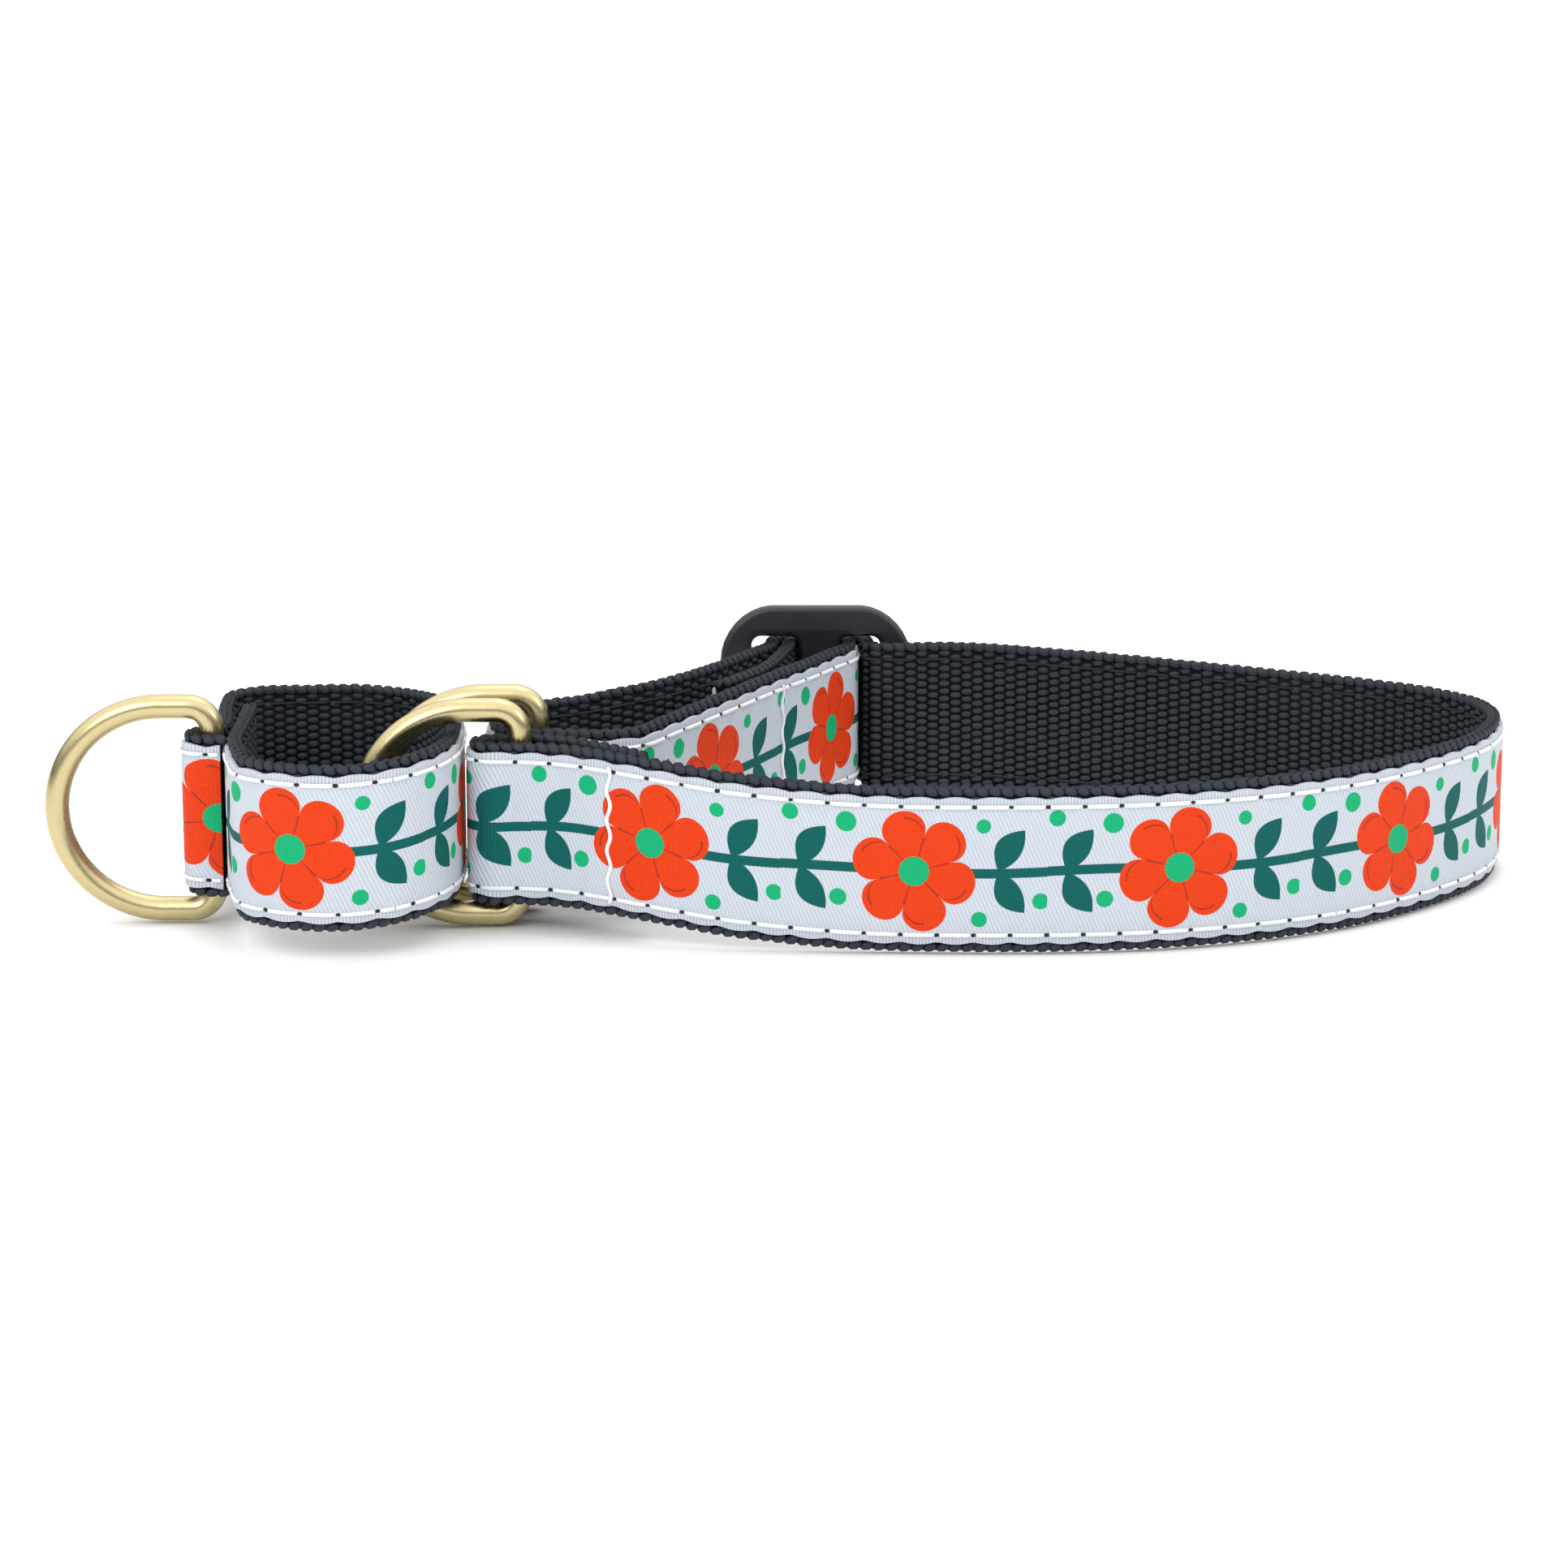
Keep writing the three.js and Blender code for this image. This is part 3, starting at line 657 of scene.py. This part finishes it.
parts = pattern.nodes.new("ShaderNodeSeparateXYZ")
pattern.links.new(given.outputs[0], parts.inputs[0])
along = parts.outputs[0]
height = maths("SUBTRACT", parts.outputs[1], RIBBON_WIDTH / 2)
cell = maths("FLOOR", maths("DIVIDE", along, FLOWER_PITCH))
x = maths("SUBTRACT", maths("SUBTRACT", along, times(cell, FLOWER_PITCH)), FLOWER_PITCH / 2)
odd = maths("ABSOLUTE", maths("MODULO", cell, 2.0))
radius = maths("SQRT", add(times(x, x), times(height, height)))
angle = add(add(maths("ARCTAN2", height, x), 0.28), times(odd, 0.5))
lobe = maths("ABSOLUTE", maths("COSINE", times(angle, 3.0)))
reach = times(add(times(maths("POWER", lobe, 0.42), 0.42), 0.58), FLOWER_RADIUS)
flower = below(radius, reach)
heart = below(radius, HEART_RADIUS)
gap_line = times(below(lobe, 0.16), times(below(radius, 5.4), flower))
inner_edge = maths("ABSOLUTE", maths("SUBTRACT", radius, maths("SUBTRACT", reach, 1.15)))
fold_line = times(below(inner_edge, 0.22), below(maths("SINE", times(angle, 6.0)), -0.25))
fold_line = times(fold_line, times(flower, below(5.0, radius)))
stem = below(maths("ABSOLUTE", add(height, times(maths("SINE", times(x, 0.15)), 0.3))), STEM_HALF)
rise = maths("ABSOLUTE", height)
leaves = 0.0
for base in (-17.2, 12.6):
    from_base = maths("SUBTRACT", x, base)
    length = add(times(from_base, 0.07), times(rise, 0.112))
    sideways = maths("ABSOLUTE", add(maths("SUBTRACT", times(from_base, 0.85), times(rise, 0.53)), times(
        times(length, maths("SUBTRACT", 1.0, length)), 2.2)))
    width = times(times(length, maths("SUBTRACT", 1.0, length)), 8.2)
    leaf = below(sideways, width)
    leaves = maths("MAXIMUM", leaf, leaves)
dots = 0.0
for dot_x, dot_y, dot_radius in [
    (10.4, 7.0, 1.15),
    (9.8, -7.4, 1.25),
    (19.0, -4.6, 1.3),
    (-18.6, 8.2, 1.3),
    (-11.4, -4.4, 1.35),
    (-10.2, 7.3, 1.6),
]:
    dx, dy = maths("SUBTRACT", x, dot_x), maths("SUBTRACT", height, dot_y)
    dots = maths("MAXIMUM", below(maths("SQRT", add(times(dx, dx), times(dy, dy))), dot_radius), dots)
colour = painted_over(GREY, stem, TEAL)
colour = painted_over(colour, leaves, TEAL)
colour = painted_over(colour, dots, MINT)
colour = painted_over(colour, flower, ORANGE)
colour = painted_over(colour, maths("MAXIMUM", gap_line, fold_line), DARK_ORANGE)
colour = painted_over(colour, heart, MINT)
woven = maths("MAXIMUM", maths("MAXIMUM", flower, leaves), maths("MAXIMUM", dots, stem))
twill = maths("SINE", times(add(along, times(height, 0.42)), 2 * math.pi / TWILL_PITCH))
rising = maths("SINE", times(add(along, height), GRAIN_TURNS))
falling = maths("SINE", times(maths("SUBTRACT", along, height), GRAIN_TURNS))
grain = times(rising, falling)
ribs = maths("SINE", times(along, 2 * math.pi / RIB_PITCH))
at_edge = below(RIBBON_WIDTH / 2 - STITCH_INSET + 0.1, rise)
plain = times(maths("SUBTRACT", 1.0, woven), maths("SUBTRACT", 1.0, at_edge))
relief = add(add(times(twill, times(plain, 0.6)), times(grain, times(woven, 0.9))), times(ribs, at_edge))
shade = add(times(relief, 0.16), 0.92)
shaded = pattern.nodes.new("ShaderNodeMix")
shaded.data_type = "RGBA"
shaded.blend_type = "MULTIPLY"
shaded.inputs[0].default_value = 1.0
pattern.links.new(colour, shaded.inputs[6])
grey_shade = pattern.nodes.new("ShaderNodeCombineColor")
for k in range(3):
    pattern.links.new(shade, grey_shade.inputs[k])
pattern.links.new(grey_shade.outputs[0], shaded.inputs[7])
pattern.links.new(shaded.outputs[2], result.inputs["Color"])
pattern.links.new(relief, result.inputs["Relief"])

ribbon_material, tree, shader = flat_material("ribbon", GREY, 0.55)
shader.inputs["Specular IOR Level"].default_value = 0.12
strap_place = tree.nodes.new("ShaderNodeAttribute")
strap_place.attribute_name = "strap"
drawn = tree.nodes.new("ShaderNodeGroup")
drawn.node_tree = pattern
bump = tree.nodes.new("ShaderNodeBump")
bump.inputs["Strength"].default_value = 0.5
bump.inputs["Distance"].default_value = 0.0002
tree.links.new(strap_place.outputs["Vector"], drawn.inputs["Place"])
tree.links.new(drawn.outputs["Color"], shader.inputs["Base Color"])
tree.links.new(drawn.outputs["Relief"], bump.inputs["Height"])
tree.links.new(bump.outputs["Normal"], shader.inputs["Normal"])

for name, (route, first, last, nodes, bodies) in lengths.items():
    start, end = route["spans"][first][0], route["spans"][last][1]
    if route is main_route and first == "front":
        start += 1.2
    stations = np.linspace(start, end, int((end - start) * 8 / STITCH_PITCH) + 2)[:, None]
    beat = np.abs(np.sin(math.pi * stations / STITCH_PITCH))
    inset = np.array([0, 0, 0.25, 0.7, STITCH_INSET, 1.8, 3, 5, 8, 11.1])
    heights = np.r_[inset, RIBBON_WIDTH - inset[::-1][1:]][None, :]
    from_edge = np.minimum(heights, RIBBON_WIDTH - heights)
    lower = heights < RIBBON_WIDTH / 2
    scallop = (0.42 * beat - 0.16) * np.exp(-from_edge / 0.9)
    ups = RIBBON_BOTTOM + heights + np.where(lower, -scallop, scallop)
    pulled = np.exp(-((from_edge - STITCH_INSET) / 0.6) ** 2) * (0.3 - 0.16 * beat)
    thin = np.clip(from_edge / 0.35, 0, 1) * 0.28 + 0.72
    outs = HALF_WEB + SEWN_GAP + RIBBON_THICKNESS * thin - pulled
    outs[:, 0] = outs[:, -1] = HALF_WEB - 0.15
    creeps_to, before, after = MAIN_FLOWERS if route is main_route else LOOP_FLOWERS
    creeps_from = route["gone"][route["line"][:, 0].argmax()]
    creep = np.interp(stations, [creeps_from, route["spans"][creeps_to][1]], [before, after])
    shift = FLOWER_PITCH * 8.5 - creep
    place = np.stack(np.broadcast_arrays(stations + shift, heights, 0.0), axis=-1)
    piece = swept(f"{name}_ribbon", on_strap(route, stations, ups, outs), extra=place)
    piece.data.materials.append(ribbon_material)
    carry(piece, name, "ribbon")

# ---- Stitching: a lockstitch row along each edge of the ribbon. White thread lies on the ribbon and dips
# into a hole at each stitch; black bobbin thread runs the same way on the webbing's inner face.
THREAD_RADIUS = 0.34
HOLE_SIZE = (0.55, 0.36, 0.36)  # half-axes of the black knot that shows in each hole

thread_material, tree, shader = flat_material("white_thread", (0.74, 0.75, 0.76), 0.7)
coords = tree.nodes.new("ShaderNodeTexCoord")
twist = tree.nodes.new("ShaderNodeTexNoise")
twist.inputs["Scale"].default_value = 3000
bump = tree.nodes.new("ShaderNodeBump")
bump.inputs["Strength"].default_value = 0.4
bump.inputs["Distance"].default_value = 0.0002
tree.links.new(coords.outputs["Object"], twist.inputs["Vector"])
tree.links.new(twist.outputs["Fac"], bump.inputs["Height"])
tree.links.new(bump.outputs["Normal"], shader.inputs["Normal"])
bobbin_material = flat_material("black_thread", (0.008, 0.008, 0.010), 0.8)[0]
rows = {"lower": RIBBON_BOTTOM + STITCH_INSET, "upper": WEB_WIDTH - RIBBON_BOTTOM - STITCH_INSET}
round_thread = np.linspace(0, 2 * math.pi, 8, endpoint=False)[None, :]

for name, (route, first, last, nodes, bodies) in lengths.items():
    start, end = route["spans"][first][0], route["spans"][last][1]
    stations = np.arange(start, end, STITCH_PITCH / 14)[:, None]
    phase = (stations / STITCH_PITCH) % 1
    hole = np.exp(-((np.minimum(phase, 1 - phase)) / 0.075) ** 2)
    for row, height in rows.items():
        for side, surface, material, thickness in (
            (1, RIBBON_FACE, thread_material, THREAD_RADIUS), (-1, HALF_WEB, bobbin_material, 0.2),
        ):
            radius = thickness * (1 - 0.45 * hole)
            out = side * (surface - 0.12 + thickness * 0.5 - 0.85 * hole)
            ups = height + radius * np.cos(round_thread)
            outs = out + radius * 0.8 * np.sin(round_thread)
            layer = f"{row}_stitching"
            kind = layer if side == 1 else f"{row}_bobbin_thread"
            piece = swept(f"{name}_{kind}", on_strap(route, stations, ups, outs))
            piece.data.materials.append(material)
            carry(piece, name, layer if side == 1 else "none")
    first_hole, last_hole = math.ceil(start / STITCH_PITCH), math.floor(end / STITCH_PITCH)
    holes = np.arange(first_hole, last_hole + 0.5)[:, None] * STITCH_PITCH
    heights = np.array(list(rows.values()))[None, :]
    sets = [seat_object("hole", route, holes, heights, RIBBON_FACE - 0.3, HOLE_SIZE, 0.0)]
    knots = bpy.data.objects.new(f"{name}_stitch_holes", bpy.data.meshes.new(f"{name}_stitch_holes"))
    bpy.context.scene.collection.objects.link(knots)
    values = {"Seats": joined_seats(f"{name}_holes", sets), "Bump": bump_object, "Material": bobbin_material,
              "Unevenness": 0.25, "Seed": 7}
    carry(grown(knots, weave, values), name, "none")

# ---- Tacks: a row of overlapping white stitches straight across the strap, which closes the fold round
# the front ring, and another which fixes the tail round the slider's centre bar.
TACK_ZIGZAG = 0.3


def tack(name, route, along, body):
    turns = np.linspace(0, 1, 150)[:, None]
    heights = RIBBON_BOTTOM + 0.5 + turns * (RIBBON_WIDTH - 1.0)
    swing = TACK_ZIGZAG * np.sin(turns * 2 * math.pi * 4.5)
    beat = np.abs(np.sin(turns * 2 * math.pi * 4.5 / 2))
    radius = THREAD_RADIUS
    sides = along + swing + radius * np.cos(round_thread)
    outs = RIBBON_FACE + 0.05 + 0.12 * beat + radius * 0.7 * np.sin(round_thread)
    piece = swept(f"{name}_thread", on_strap(route, sides, np.broadcast_to(heights, sides.shape), outs))
    piece.data.materials.append(thread_material)
    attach(piece, body)
    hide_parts(name)


def share_of(stretch, share):
    start, end = main_route["spans"][stretch]
    return start + (end - start) * share


tack("front_fold_tack", main_route, share_of("front", 0.323), "collar")
tack("tail_tack", main_route, share_of("sliderWrap", 0.06), "slider")

# ---- D-rings: three alike, bent from round wire and plated a satin pale brass. Each has a straight bar
# held by a fold of webbing, and a round end.
RING_DEPTH = 28.0
RING_CORNER = 3.6
RING_FLAT = 7.8

brass_material, tree, shader = flat_material("satin_brass", (0.56, 0.475, 0.255), 0.28, 1.0)
coords = tree.nodes.new("ShaderNodeTexCoord")
wear = tree.nodes.new("ShaderNodeTexNoise")
wear.inputs["Scale"].default_value = 1400
wear.inputs["Detail"].default_value = 4
rough = tree.nodes.new("ShaderNodeMapRange")
rough.inputs["To Min"].default_value = 0.22
rough.inputs["To Max"].default_value = 0.34
bump = tree.nodes.new("ShaderNodeBump")
bump.inputs["Strength"].default_value = 0.05
bump.inputs["Distance"].default_value = 0.0002
tree.links.new(coords.outputs["Object"], wear.inputs["Vector"])
tree.links.new(wear.outputs["Fac"], rough.inputs["Value"])
tree.links.new(rough.outputs["Result"], shader.inputs["Roughness"])
tree.links.new(wear.outputs["Fac"], bump.inputs["Height"])
tree.links.new(bump.outputs["Normal"], shader.inputs["Normal"])

depth = RING_DEPTH - WIRE
half = (RING_HEIGHT - WIRE) / 2
corner = np.linspace(0, math.pi / 2, 14)
arc = np.linspace(0, math.pi / 2, 40)
u = np.r_[RING_CORNER * (1 - np.cos(corner)), RING_FLAT + (depth - RING_FLAT) * np.sin(arc)]
v = np.r_[half - RING_CORNER * (1 - np.sin(corner)), half * np.cos(arc)]
outline = np.stack([np.r_[u, u[::-1][1:]], np.r_[v, -v[::-1][1:]]], axis=-1)
outline = np.vstack([[0, 0], outline, [0, 0]])
gone = np.r_[0, np.cumsum(np.linalg.norm(np.diff(outline, axis=0), axis=1))]
even = np.linspace(0, gone[-1], 180, endpoint=False)
centre = np.stack([np.interp(even, gone, outline[:, k]) for k in range(2)], axis=-1)
forward = np.roll(centre, -2, axis=0) - np.roll(centre, 2, axis=0)
forward /= np.linalg.norm(forward, axis=1)[:, None]
round_wire = np.linspace(0, 2 * math.pi, 22, endpoint=False)[None, :]
swing = HALF_WIRE * np.cos(round_wire)
wire_u = centre[:, :1] + forward[:, 1:] * swing
wire_v = centre[:, 1:] - forward[:, :1] * swing
wire_y = np.broadcast_to(HALF_WIRE * np.sin(round_wire), swing.repeat(len(even), 0).shape)
for node, body in (
    ("front_slip_ring", "front_ring"),
    ("rear_slip_ring", "rear_ring"),
    ("leash_ring", "leash_ring"),
):
    low_corner, high_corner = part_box(node)
    bar = np.array([high_corner.x * 1000 - HALF_WIRE, (low_corner.y + high_corner.y) * 500])
    rings = np.stack([bar[0] - wire_u, bar[1] + wire_y, wire_v + RING_HEIGHT / 2], axis=-1)
    n, k, _ = rings.shape
    i, j = np.meshgrid(np.arange(n), np.arange(k), indexing="ij")
    a, b = i * k + j, i * k + (j + 1) % k
    c, d = ((i + 1) % n) * k + (j + 1) % k, ((i + 1) % n) * k + j
    mesh = bpy.data.meshes.new(f"{node}_wire")
    quads = np.stack([a, b, c, d], axis=-1).reshape(-1, 4)
    mesh.from_pydata((rings.reshape(-1, 3) / 1000).tolist(), [], quads.tolist())
    check = bmesh.new()
    check.from_mesh(mesh)
    bmesh.ops.recalc_face_normals(check, faces=check.faces)
    check.to_mesh(mesh)
    check.free()
    mesh.shade_smooth()
    mesh.materials.append(brass_material)
    piece = bpy.data.objects.new(f"{node}_wire", mesh)
    bpy.context.scene.collection.objects.link(piece)
    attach(piece, body)
    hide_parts(node)

# ---- Slider: a tri-glide moulded in black plastic, a flat plate with two slots and rounded edges.
SIDE_BAR = 5.3
SLIDER_CORNER = 8.5
SLOT_CORNER = 1.6
SLIDER_CROWN = 1.3
ROUNDING = 0.9
SLIDER_HEIGHT = WEB_WIDTH + SLOT_PLAY + 2 * SLIDER_FRAME
right_slot = RIGHT_EDGE - CENTRE_BAR / 2
left_slot = right_slot + 1.2

plastic_material, tree, shader = flat_material("black_plastic", (0.010, 0.011, 0.017), 0.4)
coords = tree.nodes.new("ShaderNodeTexCoord")
grain = tree.nodes.new("ShaderNodeTexNoise")
grain.inputs["Scale"].default_value = 2500
bump = tree.nodes.new("ShaderNodeBump")
bump.inputs["Strength"].default_value = 0.15
bump.inputs["Distance"].default_value = 0.0001
tree.links.new(coords.outputs["Object"], grain.inputs["Vector"])
tree.links.new(grain.outputs["Fac"], bump.inputs["Height"])
tree.links.new(bump.outputs["Normal"], shader.inputs["Normal"])


def rounded_corner(x, y, radius_x, radius_y, first):
    """The points of one corner's arc, which starts a quarter turn from where it ends."""
    turn = np.linspace(first, first + math.pi / 2, 9)
    return np.stack([x + radius_x * np.cos(turn), y + radius_y * np.sin(turn)], axis=-1)


def rounded_box(x0, x1, top, radius, crown=0.0):
    """A rectangle with rounded corners, and its long edges bowed out by the crown."""
    inner = top - radius
    corners = [
        rounded_corner(x1 - radius, inner, radius, radius, 0),
        rounded_corner(x0 + radius, inner, radius, radius, math.pi / 2),
        rounded_corner(x0 + radius, -inner, radius, radius, math.pi),
        rounded_corner(x1 - radius, -inner, radius, radius, 1.5 * math.pi),
    ]
    points = np.vstack(corners)
    t = (points[:, 0] - (x0 + x1) / 2) / ((x1 - x0) / 2)
    return points[:, 0], points[:, 1] + np.sign(points[:, 1]) * crown * (1 - t ** 2)


curve = bpy.data.curves.new("slider_outline", "CURVE")
curve.dimensions = "2D"
curve.fill_mode = "BOTH"
curve.extrude = (SLIDER_BAR / 2 - ROUNDING) / 1000
curve.bevel_depth = ROUNDING / 1000
curve.bevel_resolution = 4
curve.offset = -ROUNDING / 1000
slider_half = SLIDER_HEIGHT / 2 - SLIDER_CROWN
slot_half = (WEB_WIDTH + SLOT_PLAY) / 2
bar_side = CENTRE_BAR / 2
slot_ends = -bar_side - left_slot, bar_side + right_slot
for x0, x1, top, corner_size, crown in (
    (slot_ends[0] - SIDE_BAR, slot_ends[1] + SIDE_BAR, slider_half, SLIDER_CORNER, SLIDER_CROWN),
    (slot_ends[0], -bar_side, slot_half, SLOT_CORNER, 0.0),
    (bar_side, slot_ends[1], slot_half, SLOT_CORNER, 0.0),
):
    xs, ys = rounded_box(x0, x1, top, corner_size, crown)
    spline = curve.splines.new("POLY")
    spline.points.add(len(xs) - 1)
    for point, x, y in zip(spline.points, xs, ys):
        point.co = (x / 1000, y / 1000, 0, 1)
    spline.use_cyclic_u = True
drawn_curve = bpy.data.objects.new("slider_outline", curve)
bpy.context.scene.collection.objects.link(drawn_curve)
bpy.context.view_layer.update()
depsgraph = bpy.context.evaluated_depsgraph_get()
mesh = bpy.data.meshes.new_from_object(drawn_curve.evaluated_get(depsgraph))
bpy.data.objects.remove(drawn_curve)
low_corner, high_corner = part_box("tri_glide_slider")
middle_x = (SLIDER_ALONG + bar_place[0]) / 1000
middle = Vector((middle_x, (low_corner.y + high_corner.y) / 2, SLIDER_HEIGHT / 2000))
whole = bmesh.new()
whole.from_mesh(mesh)
bmesh.ops.remove_doubles(whole, verts=whole.verts, dist=1e-6)
for vertex in whole.verts:
    x, y, z = vertex.co
    vertex.co = middle + Vector((x, -z, y))
bmesh.ops.recalc_face_normals(whole, faces=whole.faces)
whole.to_mesh(mesh)
whole.free()
mesh.materials.clear()
mesh.materials.append(plastic_material)
mesh.shade_smooth()
mesh.set_sharp_from_angle(angle=math.radians(40))
piece = bpy.data.objects.new("slider_moulding", mesh)
bpy.context.scene.collection.objects.link(piece)
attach(piece, "slider")
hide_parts("tri_glide_slider")

# ---- Floor and light: a plain pale sweep under soft white light from all round, brightest from above.
floor_mesh = bpy.data.meshes.new("floor")
floor_mesh.from_pydata([(-4, -4, 0), (4, -4, 0), (4, 4, 0), (-4, 4, 0)], [], [(0, 1, 2, 3)])
floor_mesh.materials.append(flat_material("pale_floor", (0.9, 0.9, 0.9), 0.7)[0])
floor = bpy.data.objects.new("floor", floor_mesh)
floor.location.z = -0.0004
bpy.context.scene.collection.objects.link(floor)
world = bpy.data.worlds.new("studio")
bpy.context.scene.world = world
world.use_nodes = True
sky = world.node_tree
direction = sky.nodes.new("ShaderNodeTexCoord")
axes = sky.nodes.new("ShaderNodeSeparateXYZ")
brightness = sky.nodes.new("ShaderNodeMapRange")
brightness.interpolation_type = "SMOOTHSTEP"
brightness.inputs["From Min"].default_value = 0.05
brightness.inputs["From Max"].default_value = 0.6
brightness.inputs["To Min"].default_value = 0.1
brightness.inputs["To Max"].default_value = 1.6
sky.nodes["Background"].inputs["Color"].default_value = (1, 1, 1, 1)
sky.links.new(direction.outputs["Generated"], axes.inputs[0])
sky.links.new(axes.outputs[2], brightness.inputs["Value"])
sky.links.new(brightness.outputs["Result"], sky.nodes["Background"].inputs["Strength"])
for name, place, size, power in (
    ("top_light", (0.1, 0.2, 0.9), 0.5, 1.2),
    ("front_light", (-0.5, -0.8, 0.6), 0.5, 2.9),
    ("side_light", (0.8, -0.3, 0.5), 0.3, 1.0),
):
    light = bpy.data.lights.new(name, "AREA")
    light.size = size
    light.energy = power
    lamp = bpy.data.objects.new(name, light)
    lamp.location = place
    lamp.rotation_euler = (-Vector(place)).to_track_quat("-Z", "Y").to_euler()
    bpy.context.scene.collection.objects.link(lamp)
